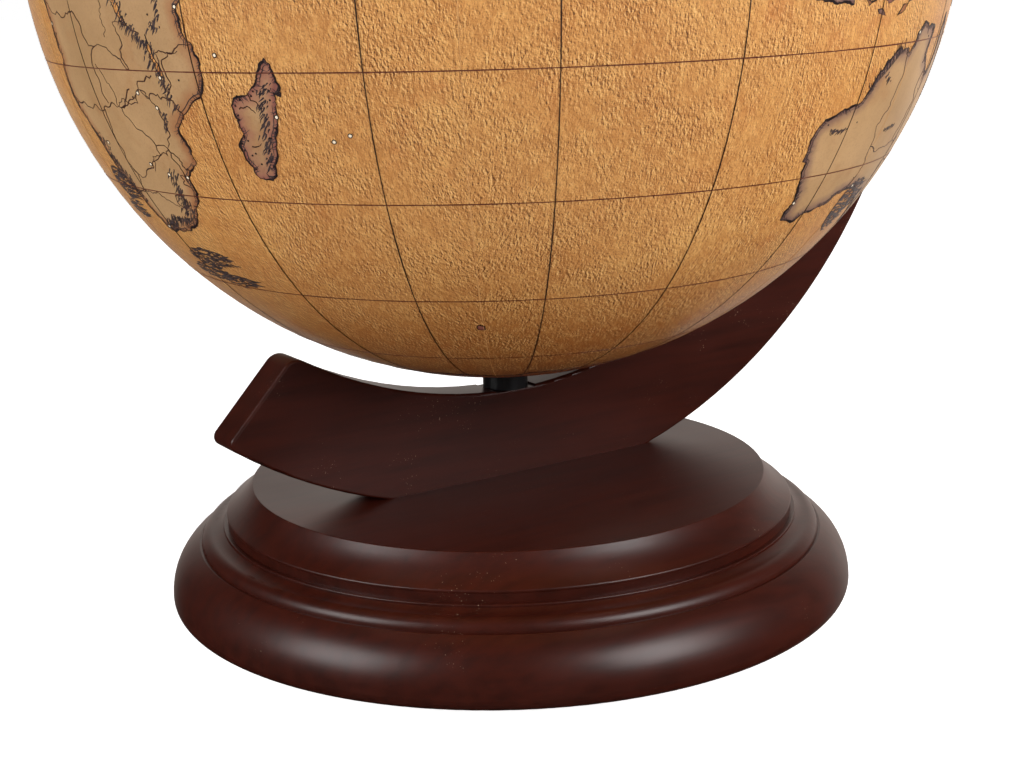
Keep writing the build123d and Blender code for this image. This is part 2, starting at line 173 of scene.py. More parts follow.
ANTARCTICA = [
    (-63.3, -57), (-66, -61), (-70, -61), (-74, -62), (-78, -58), (-78, -38), (-76, -27),
    (-72.5, -13), (-70.5, -3), (-70, 10), (-69.5, 25), (-68.5, 38), (-67.8, 50), (-68.5, 60),
    (-69.5, 70), (-69.5, 76), (-67.6, 85), (-67.6, 97), (-67, 110), (-67.8, 122), (-67.3, 134),
    (-68.5, 146), (-69.5, 160), (-72, 170), (-77.5, 165), (-78.3, 180), (-78, -165),
    (-75.5, -142), (-74.5, -125), (-74, -110), (-73, -95), (-73, -80), (-70, -74), (-67, -67),
    (-64.5, -62),
]
GREENLAND = [
    (60, -44), (61, -48.3), (66.5, -53.6), (70.5, -54.5), (75.8, -60), (76.2, -68.5),
    (78.5, -72.5), (81.5, -62), (83.4, -33), (81.5, -14), (77, -18.5), (72.5, -22.5),
    (70.2, -23), (68.2, -31), (65.5, -38.5), (62.5, -42.3),
]
ISLANDS = [
    # Europe
    [(50.1, -5.5), (50.7, -1.2), (51.2, 1.3), (52.8, 1.7), (53.5, 0), (55.8, -2), (57.6, -1.9),
     (58.6, -3.2), (58.5, -5), (56.6, -6), (55.3, -5.2), (54, -2.9), (53.3, -4.3), (51.8, -5.1),
     (51.4, -3)],
    [(51.6, -9.7), (52.2, -6.5), (54.6, -5.6), (55.2, -7.4), (53.7, -10)],
    [(63.5, -19), (64, -22.6), (65.5, -24.2), (66.3, -20), (66.3, -15.5), (64.7, -13.9)],
    [(76.7, 16), (78.5, 21), (80, 18), (79.7, 11)],
    [(70.7, 57), (73.2, 56.5), (76.8, 68.5), (75, 61), (72, 53)],
    [(38, 12.7), (38.1, 15.5), (36.7, 15)], [(41, 9.6), (39.1, 9.5), (39, 8.4), (40.9, 8.3)],
    # East and south-east Asia
    [(31.2, 130.6), (33.9, 130.9), (35.6, 134), (37.4, 137), (41.3, 140.8), (39.5, 142),
     (35.7, 140.8), (34.7, 138.2), (33.6, 135.8), (34.3, 132.8), (33, 132)],
    [(41.5, 140.2), (43.3, 140.5), (45.4, 141.8), (43.3, 145.3), (42, 143.2)],
    [(46, 142), (50, 142.2), (54.3, 142.8), (51, 143.7), (46.5, 143.4)],
    [(25.2, 121.6), (22, 120.8), (23.5, 120.1)], [(20, 110), (18.3, 109.5), (19, 108.8)],
    [(18.5, 120.8), (18.3, 122.2), (14, 124), (13.8, 120.7), (16, 119.9)],
    [(9.8, 125.5), (6.3, 126.2), (5.9, 124.2), (7, 122), (8.5, 123.5)],
    [(7, 116.8), (5, 119.2), (1, 118.9), (-3.9, 116), (-4, 114.6), (-3, 110.3), (1.7, 109.2),
     (2.5, 111.4), (4.5, 114)],
    [(5.6, 95.4), (3.8, 98.7), (0, 103.8), (-3.2, 106), (-5.9, 105.8), (-3.5, 102.2), (0, 99.3),
     (3, 97)],
    [(-6, 106), (-6.8, 110.9), (-7, 112.8), (-7.7, 114.4), (-8.7, 114.5), (-8.2, 111),
     (-7.4, 106.5)],
    [(1.6, 125), (0.8, 120.8), (-3.4, 118.9), (-5.6, 119.5), (-3.2, 120.6), (-4.8, 122.8),
     (-1.5, 121.7), (-0.9, 123.3), (0.4, 121.4)],
    [(-8.2, 116.6), (-8.2, 119), (-9, 117.2)], [(-8.3, 120), (-8.2, 122.8), (-8.9, 121)],
    [(-8.4, 127), (-9.3, 125.4), (-10.3, 123.5), (-9.2, 124.4)],
    [(-9.4, 119), (-10.2, 120.8), (-9.9, 119.4)],
    [(9.7, 80.2), (7.5, 81.8), (6, 80.6), (7.5, 79.8)],
    # Pacific
    [(-0.8, 131.2), (-2.5, 134.2), (-1.5, 137), (-2.6, 141), (-4.5, 145.5), (-6, 147.7),
     (-10.3, 150.7), (-9.4, 147), (-7.8, 144), (-9.1, 142.6), (-8.2, 138.2), (-5, 138),
     (-4, 133), (-2.2, 132.3)],
    [(-34.5, 172.8), (-37.6, 178.4), (-41.5, 175.3), (-39.3, 173.8), (-38, 174.7)],
    [(-40.7, 172.8), (-43.8, 173), (-46.6, 168.7), (-45.8, 166.6), (-42.5, 171.2)],
    [(-40.8, 144.8), (-41, 148.3), (-43.6, 146.8), (-42.5, 145.3)],
    [(-20.2, 164.1), (-22.2, 167), (-22.3, 166.4)], [(20.2, -155.9), (19.5, -154.9), (19, -155.7)],
    # Americas
    [(22.8, -82.5), (23.1, -80.5), (20.2, -74.2), (19.9, -77.6), (21.8, -82), (21.8, -84.8)],
    [(19.8, -73.3), (19.6, -69.9), (18.3, -68.5), (18.2, -71.5), (18.4, -74.3)],
    [(73.5, -84), (73.5, -78), (70, -68), (67, -62), (63, -65), (64.5, -74), (68, -73),
     (70, -79), (70.5, -88)],
    [(73, -105), (69, -102), (68.6, -113), (71.5, -118), (73.2, -113)],
    [(74.3, -121), (71.5, -124), (72.5, -119)], [(75.5, -110), (76.5, -98), (75, -94), (74.8, -105)],
    [(76.4, -82), (79, -76), (82, -62), (83, -72), (80.5, -90), (77, -88)],
    [(51.5, -55.6), (47, -53), (47.6, -59.2)], [(-51.3, -60.5), (-51.6, -57.8), (-52.2, -60)],
    # Indian Ocean
    [(-48.6, 69.2), (-48.9, 70.2), (-49.6, 70.3), (-49.7, 69.0), (-49.1, 68.8)],
    [(12.6, 53.4), (12.5, 54.5), (12.3, 53.7)],
]
INLAND_WATERS = [
    [(47, 51.5), (46.5, 48.5), (44, 47.3), (41.5, 48.8), (40.3, 50.3), (38.5, 49), (36.8, 50.5),
     (36.8, 53.8), (40, 53), (41, 54.5), (42.5, 52.5), (44.5, 51), (45.2, 53.3)],
    [(0.4, 32.5), (0.3, 34.2), (-1.2, 34), (-2.6, 33), (-2.3, 31.8), (-0.8, 31.7)],
    [(-3.4, 29.2), (-5.2, 29.5), (-7.2, 30.5), (-8.7, 31.1), (-8.6, 30.5), (-6, 29.2)],
    [(-9.6, 33.9), (-11.3, 34.4), (-14.3, 35.2), (-13.6, 34.5), (-11.5, 34)],
    [(55.6, 109.8), (53.5, 108.2), (51.6, 104), (52.3, 105.8), (54, 109)],
    [(46.7, -84.8), (48.8, -87), (46.8, -91.8), (46.8, -88)],
    [(41.7, -87.4), (43.5, -86.5), (45.8, -85.2), (45.6, -87.6), (43, -87.8)],
    [(45.9, -84), (45.9, -81.3), (44.8, -80), (43.1, -81.8), (45, -83.3)],
]
BORDERS = [
    # southern Africa
    [(-8.6, 31), (-9.5, 33)], [(-11.5, 34.9), (-11.6, 37.4), (-10.6, 40.3)],
    [(-11.5, 34.6), (-14, 34.4), (-15.8, 35.2), (-15, 36), (-12.3, 35.6), (-11.3, 38.3)],
    [(-14, 33.2), (-15, 30.2), (-16.6, 28.8), (-17.8, 25.3), (-15.6, 28.4)],
    [(-15.6, 30.4), (-17.7, 32.8), (-19.7, 32.8), (-21, 32.5), (-22.4, 31.3), (-22.2, 29.2)],
    [(-17.8, 25.3), (-20.5, 27.7), (-22.2, 29.2), (-24.6, 26.4), (-25.6, 24.2), (-26.8, 21.7),
     (-24.8, 20), (-22, 20), (-18.3, 21)],
    [(-22.4, 31.3), (-24.5, 32), (-26, 32), (-26.8, 32.1)],
    [(-26, 32), (-25.8, 31.2), (-27, 31), (-27.3, 32)],
    [(-28.6, 29), (-28.7, 27.6), (-29.8, 27.1), (-30.6, 28.2), (-29.6, 29.4), (-28.6, 29)],
    [(-28.5, 16.6), (-28.8, 20), (-24.8, 20)], [(-17.3, 12), (-17.8, 18.5), (-17.9, 25.2)],
    [(-13, 22), (-17.5, 22.5)], [(-11, 24), (-13, 22)], [(-6, 12.5), (-8, 17), (-7.3, 20.5),
     (-11, 22.5), (-11, 24), (-12.3, 28.5), (-13.4, 29.6), (-8.4, 28.8), (-8.2, 31)],
    [(-1, 30), (-4.4, 29.4), (-2.6, 30.8), (-1, 30.6)], [(-1, 34), (-3.1, 37.6), (-4.7, 39.3)],
    [(4.6, 36), (1, 34.6), (-1, 34)], [(4.2, 41.2), (-1.6, 41.4)], [(4.6, 36), (3.6, 39), (4.2, 41.2),
     (8, 47.8), (9.5, 43.4), (11.1, 41.8), (14.6, 40.2), (14.3, 36.5), (10, 34.2), (4.6, 36)],
    # northern and western Africa
    [(22, 36.5), (22, 25), (31.6, 25)], [(22, 25), (15.7, 24), (12, 22.5), (8, 24.2), (5, 27.4),
     (3.6, 31), (4.6, 36)], [(23.4, 16), (19.5, 24)], [(23.4, 16), (23.5, 12), (33, 10), (30.2, 9.5)],
    [(13, 13.6), (18, 15.4), (23.4, 16)], [(13, 13.6), (6, 10.2), (4.5, 8.8)], [(13, 13.6),
     (13.7, 4), (6.4, 2.7)], [(13.7, 4), (19, 4), (24.6, -4.8), (27.5, -8.7), (30, -5.2), (35, -2)],
    [(4.6, 15), (2.2, 16), (-1, 16.2), (-4.6, 12.8)], [(5, 27.4), (4.7, 18.6), (4.6, 15)],
    [(14.8, -12.3), (12.4, -11.4), (10, -8), (4.8, -7.4)], [(14.8, -12.3), (15.4, -5.6),
     (24.6, -4.8)], [(15.4, -5.6), (11, -5), (9.8, -2.8), (5.1, -3)], [(11, 0), (6.2, 1)],
    # Australia
    [(-14.9, 129), (-31.6, 129)], [(-16.6, 138), (-26, 138)], [(-26, 129), (-26, 141)],
    [(-26, 141), (-37.8, 141)], [(-29, 141), (-28.9, 149), (-28.3, 153.3)],
    [(-34.1, 141), (-36, 146), (-37.4, 149.8)],
    # Asia
    [(41.6, 41.7), (41.3, 43.5), (39.7, 44.6), (38.9, 48.5)], [(39.7, 44.6), (37.2, 45), (33.7, 46),
     (30, 48)], [(37.2, 42.4), (36.8, 38), (36.2, 36)], [(32, 39), (29.3, 35)], [(17.5, 43.3),
     (19, 51.8), (16.8, 53)], [(37.4, 54), (36.6, 61), (31, 61.6), (25.4, 61.6)], [(29.4, 61),
     (31.5, 66.5), (34, 70.6), (37, 74.8)], [(37, 74.8), (32.5, 75.2), (28, 71), (24.3, 68.8)],
    [(35.4, 78), (30.3, 81), (27.9, 88.2), (28, 97)], [(27.9, 88.2), (26.4, 84), (28.8, 80.2),
     (30.3, 81)], [(28, 97), (24, 98.6), (21.6, 101), (20, 100.2), (16.4, 98.6), (12, 99.4)],
    [(22.5, 103.8), (21.6, 108)], [(22.4, 102.2), (17.5, 106), (11.6, 106)], [(49.2, 87.6),
     (44, 80.4), (37, 74.8)], [(49.2, 87.6), (50.4, 98.2), (49.4, 107), (49.8, 117), (53.4, 121.5),
     (47.8, 131), (42.6, 130.8)], [(49.2, 87.6), (45, 91), (42.5, 96.5), (41.8, 106), (45, 112),
     (49.8, 117)], [(49.2, 87.6), (53.8, 74), (55.2, 66), (50.8, 58), (49.8, 48.6), (46.5, 48.2)],
    [(45, 55.5), (41.6, 60), (37.4, 66.5)], [(42, 52.8), (45, 58.4), (43, 68), (43, 80)],
    # Europe
    [(42.5, 3), (43.3, -1.6)], [(42, -8.8), (41.8, -6.4), (37.2, -7.4)], [(43.8, 7.5), (47, 7),
     (49, 8.1), (49.5, 6), (51, 2.6)], [(47.5, 9.6), (46.6, 12.4), (45.6, 13.7)], [(47.5, 9.6),
     (48.8, 13.8), (50.8, 14.8), (53.9, 14.2)], [(48.8, 13.8), (49, 18.6), (49, 22.5), (52, 23.6),
     (54.4, 22.8), (54.4, 19.6)], [(52, 23.6), (51.6, 31), (49, 39.5), (47.2, 38.3)], [(46.4, 16),
     (45.9, 19), (44.6, 21.4), (44, 27)], [(48, 24.6), (45.5, 28.2)], [(59, 11.4), (64, 13.5),
     (69, 20.4), (69.8, 30)], [(65.8, 24.2), (69, 20.6)], [(60.6, 28), (68.6, 28.6)],
    # Americas
    [(49, -123), (49, -95.2), (48, -89.5), (46.4, -84.4), (42.4, -82.8), (45, -74.8), (45, -71.4),
     (47.2, -68.2), (45.2, -67.2)], [(69.6, -141), (60.2, -141), (56, -130.2)], [(32.6, -117),
     (31.4, -111), (31.8, -106.4), (29.4, -101.2), (25.9, -97.4)], [(14.6, -92.2), (17.8, -91),
     (18.4, -88.2)], [(13, -87.4), (15, -83.4)], [(1.4, -78.8), (0, -75.4), (-4.2, -70),
     (1.2, -69.8), (6.2, -67.4), (11.8, -71.4)], [(1.2, -67), (4.8, -60.2), (8.2, -59.8)],
    [(4.8, -60.2), (1.8, -56), (2.4, -52.8), (4.2, -51.8)], [(-4.2, -70), (-10.8, -70.6),
     (-13.6, -69), (-17.6, -69.6), (-18.3, -70.3)], [(-17.6, -69.6), (-22.8, -67.2),
     (-33, -70), (-42, -72), (-52, -70)], [(-10.8, -70.6), (-12.4, -64.4), (-16.2, -60),
     (-19.6, -58), (-22.2, -62.6), (-22.8, -67.2)], [(-19.6, -58), (-24, -54.4), (-27.2, -54),
     (-30.2, -57.6), (-34, -58.2)], [(-30.2, -57.6), (-33.6, -53.6)],
]
RIVERS = [
    [(-18.8, 36.2), (-16.6, 33.6), (-15.6, 30), (-17.2, 27.2), (-17.8, 24.8), (-13, 22.8)],
    [(-25, 33.5), (-22.4, 31.3), (-23.6, 27.4), (-25.6, 26.2)],
    [(-28.6, 16.5), (-28.8, 20.6), (-29.2, 24), (-30.4, 27)],
    [(31.4, 31), (26, 32.2), (21.8, 31.2), (17, 33.6), (10, 31.4), (3, 31.8), (0.4, 33)],
    [(-6, 12.6), (-3, 16.2), (1.8, 20), (0.4, 25.2), (-6, 27), (-10, 26.6)],
    [(4.6, 6.2), (11.6, 4), (16.8, 0.4), (15.6, -4.6), (10.6, -9)],
    [(-21.6, 45), (-21.2, 46.4)], [(-17.4, 44.8), (-17.8, 46.8)], [(-15.8, 46.4), (-17.6, 47.6)],
    [(29.6, -90), (35, -90.4), (41, -91), (47, -94)], [(38.8, -90.2), (43, -98), (47.6, -108)],
    [(-0.6, -50.6), (-3.2, -60), (-3.4, -67), (-4.6, -73.4), (-10, -76)],
    [(-32, -60.6), (-25, -58), (-18, -57.6)], [(31.4, 121.6), (30.4, 112), (29, 104), (33, 96)],
    [(37.6, 118.6), (35, 112), (40.4, 110), (36, 102)], [(46.2, 48), (51.8, 46), (56, 47), (57.2, 40)],
    [(66.6, 67), (61, 69.4), (55, 73.4), (50, 82)], [(72, 82.4), (64, 88), (56, 92.6)],
    [(72.4, 126.4), (64, 126), (60, 112), (54, 106)], [(22.2, 90.6), (25.4, 83), (29, 78.6)],
    [(24.2, 67.4), (29, 70.8), (33.6, 73)], [(45.2, 29.4), (44.4, 22.6), (48.2, 16.2), (48.4, 10)],
]
RANGES = [
    # ridge line, then half width in degrees
    ([(-5.5, 29.4), (-8.6, 31.6), (-10.4, 33.6), (-12.6, 34), (-15.6, 35.2), (-17.8, 36)], 1.2),
    ([(-2, 36.4), (-5, 36.2), (-7.4, 36.6), (-9.2, 35)], 0.9),
    ([(-17.6, 32.8), (-20.4, 32.8)], 0.6),
    ([(-25.2, 30.8), (-28.4, 29.6), (-30.6, 28.2), (-32.2, 26), (-33, 22.6), (-33.4, 19.6)], 1.5),
    ([(-30.6, 18.4), (-28.6, 17.4), (-25.4, 16.4), (-21.4, 15)], 0.9),
    ([(-14.4, 49), (-16.6, 48.2), (-19, 47.6), (-21.4, 47.2), (-24.2, 46.8)], 0.9),
    ([(4, 37), (8, 38.6), (12.4, 38.4), (14.6, 38.8)], 1.4),
    ([(30.4, -9), (33, -4.6), (35.4, 1), (35.6, 8)], 0.9), ([(21, 17), (19.4, 18.2)], 1.2),
    ([(23, 5), (24, 8)], 1.0), ([(6, 10.6), (9, 13)], 0.8),
    ([(-16.4, 125.4), (-17.8, 126.4)], 0.8), ([(-22.4, 116.6), (-22.8, 119.6)], 0.6),
    ([(-37.4, 147), (-34, 150), (-29, 152), (-24, 149.6), (-18.4, 145.4)], 0.9),
    ([(-23.8, 131), (-23.6, 135)], 0.6),
    ([(28.6, 83), (30.6, 79), (34.4, 75.6), (36.4, 72)], 1.4), ([(27.8, 88), (28.4, 94), (29, 97)], 1.4),
    ([(36.4, 80), (35.6, 90), (37.6, 98)], 1.2), ([(42.4, 72), (42.6, 80), (43.4, 88)], 1.0),
    ([(50, 88), (51.6, 98)], 1.2), ([(52, 58), (58, 59.4), (64, 60), (67, 65)], 0.8),
    ([(43.2, 41), (42, 46.6)], 0.6), ([(44, 7), (46.4, 8.6), (47, 12.4)], 0.7),
    ([(42.6, 0), (42.8, -5)], 0.5), ([(48.6, 20), (47, 25), (45.4, 25.4)], 0.6),
    ([(61, 8.4), (65, 14), (68.4, 18.4)], 0.7), ([(37, 32), (37.6, 38), (38.4, 44)], 0.8),
    ([(34, 47), (29, 53), (27.4, 58)], 0.9), ([(11, 76.6), (16, 74.2), (19, 73.8)], 0.5),
    ([(27, 100), (32, 102)], 1.2), ([(62, 132), (66, 144), (63, 152)], 1.4),
    ([(60, -138), (56, -128), (50, -120), (44, -114), (38, -107), (33, -107)], 1.6),
    ([(48, -121.4), (40, -121.4), (36, -118.4)], 0.7), ([(62.6, -151), (61, -142)], 0.9),
    ([(35, -83.6), (40, -78.4), (44, -73)], 0.7), ([(29, -107), (23, -104.4), (18, -98)], 0.9),
    ([(9, -72), (4, -75), (-1, -78.4), (-8, -78.2), (-14, -72.4), (-20, -68)], 1.0),
    ([(-20, -68), (-27, -68.6), (-34, -70), (-42, -71.6), (-50, -73)], 0.8),
    ([(-16, -42), (-21, -44.6)], 0.7), ([(-4.6, 138), (-6, 144)], 0.7), ([(-43.4, 170.6), (-45, 168)], 0.6),
]
# Shoals hatched in the sea: centre, then half size north-south and east-west.
BANKS = [
    ((-38.6, 24), (1.5, 4)), ((-41.2, 20.6), (1.3, 3.4)), ((-42.4, 26.6), (1.0, 3.2)),
    ((-28.4, 13.4), (2.4, 2.4)), ((-32, 11.6), (1.2, 2.2)), ((-34.4, 132.6), (3.8, 2.6)),
    ((-46, 172), (1.4, 3)), ((-44, -58), (3.2, 3)), ((45.4, -50), (1.6, 3)), ((56, 3), (1.2, 1.6)),
    ((-12, -160), (1.2, 2.4)), ((22, -60), (1.4, 3.4)), ((-24, -34), (1.4, 2)), ((36, 150), (1.6, 3.2)),
]
# The steep coast of north-west Australia runs between these two places.
CLIFFS = ((-14.2, 127.6), (-18.4, 122))
TOWNS = [
    (-6.8, 39.2), (-11.7, 43.3), (-18.2, 49.3), (-20.2, 57.5), (-20.9, 55.5), (-17.6, 32.4),
    (-26, 32.5), (-32, 115.9), (-14.2, 34.6), (-16, 29.8), (-25.8, 29), (-34, 19.4), (-1.2, 36.8),
    (9, 38.8), (15.6, 32.6), (30, 31.2), (0.4, 32.6), (-4.3, 15.3), (-8.8, 13.4), (6.5, 3.4),
    (5.6, -0.2), (14.7, -17.2), (34, -6.8), (36.7, 3), (36.8, 10.2), (32.8, 13.2), (12.6, -8),
    (13.5, 2.1), (12.1, 15), (-22.6, 17.1), (-24.7, 26), (-31.5, 131), (-35, 149), (-33.8, 151),
    (-37.6, 145), (-12.5, 131), (-6.3, 106.8), (1.4, 103.8), (14.6, 121), (13.8, 100.6),
    (19, 72.9), (28.6, 77.2), (22.6, 88.4), (6.9, 79.9), (24.8, 67), (33.7, 73), (35.7, 51.4),
    (33.3, 44.4), (24.6, 46.7), (39.9, 32.8), (55.8, 37.6), (59.9, 30.3), (52.2, 21), (52.5, 13.4),
    (48.8, 2.3), (51.5, -0.1), (40.4, -3.7), (38.7, -9.1), (41.9, 12.5), (38, 23.7), (59.3, 18),
    (59.9, 10.7), (64.1, -21.9), (39.9, 116.4), (31.2, 121.4), (22.3, 114.2), (35.7, 139.7),
    (37.5, 127), (47.9, 106.9), (43.2, 76.9), (62, 129.7), (45.4, -75.7), (38.9, -77), (40.7, -74),
    (41.9, -87.6), (29.8, -95.4), (34, -118.2), (37.8, -122.4), (49.2, -123.1), (61.2, -149.9),
    (19.4, -99.1), (23.1, -82.4), (9, -79.5), (4.7, -74), (10.5, -66.9), (-0.2, -78.5),
    (-12, -77), (-15.8, -47.9), (-22.9, -43.2), (-34.6, -58.4), (-34.9, -56.2), (-33.4, -70.6),
    (-16.5, -68.1), (-25.3, -57.6), (-41.3, 174.8), (-36.9, 174.8), (-9.5, 147.2),
]

# Colour washed inside each coast, as 0 to 255 screen values.
WASHES = {
    "ochre": (152, 92, 52),
    "rose": (142, 78, 70),
    "violet": (104, 74, 72),
    "olive": (146, 122, 78),
    "umber": (138, 92, 58),
}
LANDS = [
    (AFRICA, "ochre"), (MADAGASCAR, "rose"), (AUSTRALIA, "violet"), (EURASIA, "umber"),
    (NORTH_AMERICA, "olive"), (SOUTH_AMERICA, "rose"), (ANTARCTICA, "umber"), (GREENLAND, "violet"),
]

# ======================= materials ===================================================


def srgb(red, green, blue):
    """A colour given as 0 to 255 screen values."""
    screen = (c / 255 for c in (red, green, blue))
    linear = [((c + 0.055) / 1.055) ** 2.4 if c > 0.04 else c / 12.92 for c in screen]
    return (*linear, 1.0)


class Shader:
    """A node material under construction."""

    def __init__(self, name, **settings):
        self.material = bpy.data.materials.new(name)
        self.material.use_nodes = True
        self.tree = self.material.node_tree
        self.tree.nodes.clear()
        self.surface = self.add("ShaderNodeBsdfPrincipled", **settings)
        output = self.tree.nodes.new("ShaderNodeOutputMaterial")
        self.tree.links.new(self.surface.outputs[0], output.inputs["Surface"])

    def add(self, kind, **inputs):
        """Adds a node. Each named input is a value or another node's output."""
        node = self.tree.nodes.new(kind)
        for name, value in inputs.items():
            key = int(name[1:]) if name[1:].isdigit() else name.replace("_", " ")
            self.plug(value, node.inputs[key])
        return node

    def plug(self, value, socket):
        if isinstance(value, bpy.types.NodeSocket):
            self.tree.links.new(value, socket)
        else:
            socket.default_value = value

    def colour(self, value):
        self.plug(value, self.surface.inputs["Base Color"])

    def roughness(self, value):
        self.plug(value, self.surface.inputs["Roughness"])

    def bump(self, height, strength, distance):
        node = self.add("ShaderNodeBump", Height=height, Strength=strength, Distance=distance)
        self.plug(node.outputs[0], self.surface.inputs["Normal"])

    def sum(self, operation, a, b=0.0):
        node = self.add("ShaderNodeMath", i0=a, i1=b)
        node.operation = operation
        return node.outputs[0]

    def mix(self, factor, a, b):
        """Mixes two colours."""
        node = self.tree.nodes.new("ShaderNodeMix")
        node.data_type = "RGBA"
        self.plug(factor, node.inputs[0])
        self.plug(a, node.inputs[6])
        self.plug(b, node.inputs[7])
        return node.outputs[2]

    def ramp(self, value, low, high, start=0.0, end=1.0):
        node = self.add(
            "ShaderNodeMapRange",
            Value=value,
            From_Min=low,
            From_Max=high,
            To_Min=start,
            To_Max=end,
        )
        return node.outputs[0]

    def place(self, scale=(1, 1, 1)):
        """Object coordinates, stretched."""
        coords = self.tree.nodes.new("ShaderNodeTexCoord")
        mapping = self.add("ShaderNodeMapping", Vector=coords.outputs["Object"], Scale=scale)
        return mapping.outputs[0]

    def noise(self, vector, scale, detail=2.0, roughness=0.5):
        node = self.add(
            "ShaderNodeTexNoise", Vector=vector, Scale=scale, Detail=detail, Roughness=roughness
        )
        return node.outputs["Fac"]

    def attribute(self, name, output="Fac"):
        node = self.tree.nodes.new("ShaderNodeAttribute")
        node.attribute_name = name
        return node.outputs[output]


def stained_wood():
    """Dark mahogany stain with faint grain and open pores under satin lacquer."""
    shader = Shader("stained_wood", Specular_IOR_Level=0.3)
    grain = shader.noise(shader.place((0.1, 1, 1)), 260.0, 4.0, 0.6)
    cloud = shader.noise(shader.place(), 22.0, 3.0)
    pores = shader.noise(shader.place((0.06, 1, 1)), 1400.0, 2.0)
    dust = shader.noise(shader.place(), 1900.0, 1.0)
    dust_area = shader.noise(shader.place(), 45.0, 2.0)
    colour = shader.mix(cloud, srgb(45, 13, 6), srgb(62, 20, 10))
    colour = shader.mix(shader.ramp(grain, 0.4, 0.8, 0, 0.7), colour, srgb(26, 7, 4))
    speck = shader.sum("MULTIPLY", shader.ramp(dust, 0.74, 0.77), shader.ramp(dust_area, 0.58, 0.66))
    colour = shader.mix(speck, colour, srgb(150, 124, 104))
    height = shader.add("ShaderNodeSeparateXYZ", i0=shader.place()).outputs[2]
    scuffs = shader.ramp(shader.noise(shader.place(), 800.0, 3.0), 0.42, 0.6)
    worn_edge = shader.sum("MULTIPLY", shader.ramp(height, 1.7 * MM, 2.6 * MM, 1, 0), scuffs)
    colour = shader.mix(worn_edge, colour, srgb(170, 136, 112))
    shader.colour(colour)
    shader.roughness(shader.ramp(cloud, 0.3, 0.7, 0.32, 0.38))
    shader.bump(pores, 0.05, 0.0002)
    return shader.material


def plastic(name, colour, shade, roughness):
    """Moulded plastic with a fine surface texture."""
    shader = Shader(name, Roughness=roughness)
    grain = shader.noise(shader.place(), 900.0, 3.0)
    shader.colour(shader.mix(grain, colour, shade))
    shader.bump(grain, 0.08, 0.0002)
    return shader.material


def felt():
    shader = Shader("felt", Roughness=0.95, Sheen_Weight=0.4, Sheen_Roughness=0.5)
    fibres = shader.noise(shader.place(), 1600.0, 4.0, 0.7)
    patches = shader.noise(shader.place(), 60.0, 2.0)
    colour = shader.mix(fibres, srgb(20, 26, 22), srgb(54, 62, 54))
    shader.colour(shader.mix(shader.ramp(patches, 0.4, 0.7, 0, 0.4), colour, srgb(30, 38, 32)))
    shader.bump(fibres, 0.6, 0.0006)
    return shader.material


def steel():
    shader = Shader("steel", Metallic=1.0, Roughness=0.3)
    lines = shader.noise(shader.place((1, 1, 12)), 240.0, 3.0)
    shader.colour(shader.mix(lines, srgb(150, 148, 144), srgb(205, 203, 198)))
    shader.roughness(shader.ramp(lines, 0.3, 0.7, 0.24, 0.4))
    shader.bump(lines, 0.05, 0.0001)
    return shader.material


def fibre_board():
    shader = Shader("fibre", Roughness=0.8)
    flecks = shader.noise(shader.place(), 700.0, 4.0, 0.7)
    shader.colour(shader.mix(shader.ramp(flecks, 0.35, 0.7), srgb(52, 30, 20), srgb(96, 62, 42)))
    shader.bump(flecks, 0.3, 0.0003)
    return shader.material


VARNISH = {"Roughness": 0.4, "Coat_Weight": 0.2, "Coat_Roughness": 0.2}
GORE_WIDTH = math.radians(GORE_DEGREES)
GORE_START = math.radians(GORE_FIRST + PRINT_TURN)


def gore_place(shader, stretch):
    """Coordinates on the paper of one gore: across it, along it (stretched), and its number."""
    centred = shader.add("ShaderNodeMapping", Vector=shader.place(), Location=tuple(-BALL_CENTRE))
    axes = shader.add("ShaderNodeSeparateXYZ", i0=centred.outputs[0]).outputs
    turn = shader.sum("ARCTAN2", axes[1], axes[0])
    turn = shader.sum("SUBTRACT", turn, GORE_START)
    turn = shader.sum("MULTIPLY", turn, 1 / GORE_WIDTH)
    number = shader.sum("FLOOR", turn)
    across = shader.sum("SUBTRACT", shader.sum("SUBTRACT", turn, number), 0.5)
    level = shader.sum("MULTIPLY", axes[2], 1 / BALL_RADIUS)
    level = shader.sum("MAXIMUM", shader.sum("MINIMUM", level, 1.0), -1.0)
    latitude = shader.sum("ARCSINE", level)
    across = shader.sum("MULTIPLY", across, shader.sum("COSINE", latitude))
    across = shader.sum("MULTIPLY", across, GORE_WIDTH * BALL_RADIUS)
    along = shader.sum("MULTIPLY", latitude, BALL_RADIUS * stretch)
    return shader.add("ShaderNodeCombineXYZ", i0=across, i1=along, i2=number).outputs[0]


def shifted(shader, vector, offset):
    return shader.add("ShaderNodeMapping", Vector=vector, Location=offset).outputs[0]


def paper_colour(shader, light, dark, warm):
    """Parchment tone with blotches and warm stains, darker and browner towards the south pole: partly printed
    toning, partly painted shade from the stand below.
    """
    patches = shader.noise(shader.place((1, 1, 0.8)), 34.0, 5.0, 0.62)
    stains = shader.noise(shifted(shader, shader.place(), (3, 1, 2)), 70.0, 4.0, 0.65)
    colour = shader.mix(shader.ramp(patches, 0.32, 0.68), dark, light)
    colour = shader.mix(shader.ramp(stains, 0.56, 0.8, 0, 0.75), colour, warm)
    height = shader.add("ShaderNodeSeparateXYZ", i0=shader.place()).outputs[2]
    below = shader.sum("SUBTRACT", BALL_CENTRE[2], height)
    # Darker, browner paper low on the ball: partly printed toning, partly painted shade where the stand shades the
    # ball.
    toning_and_shade = shader.ramp(below, 0.6 * BALL_RADIUS, 0.94 * BALL_RADIUS, 0, 0.95)
    return shader.mix(toning_and_shade, colour, srgb(128, 58, 8))


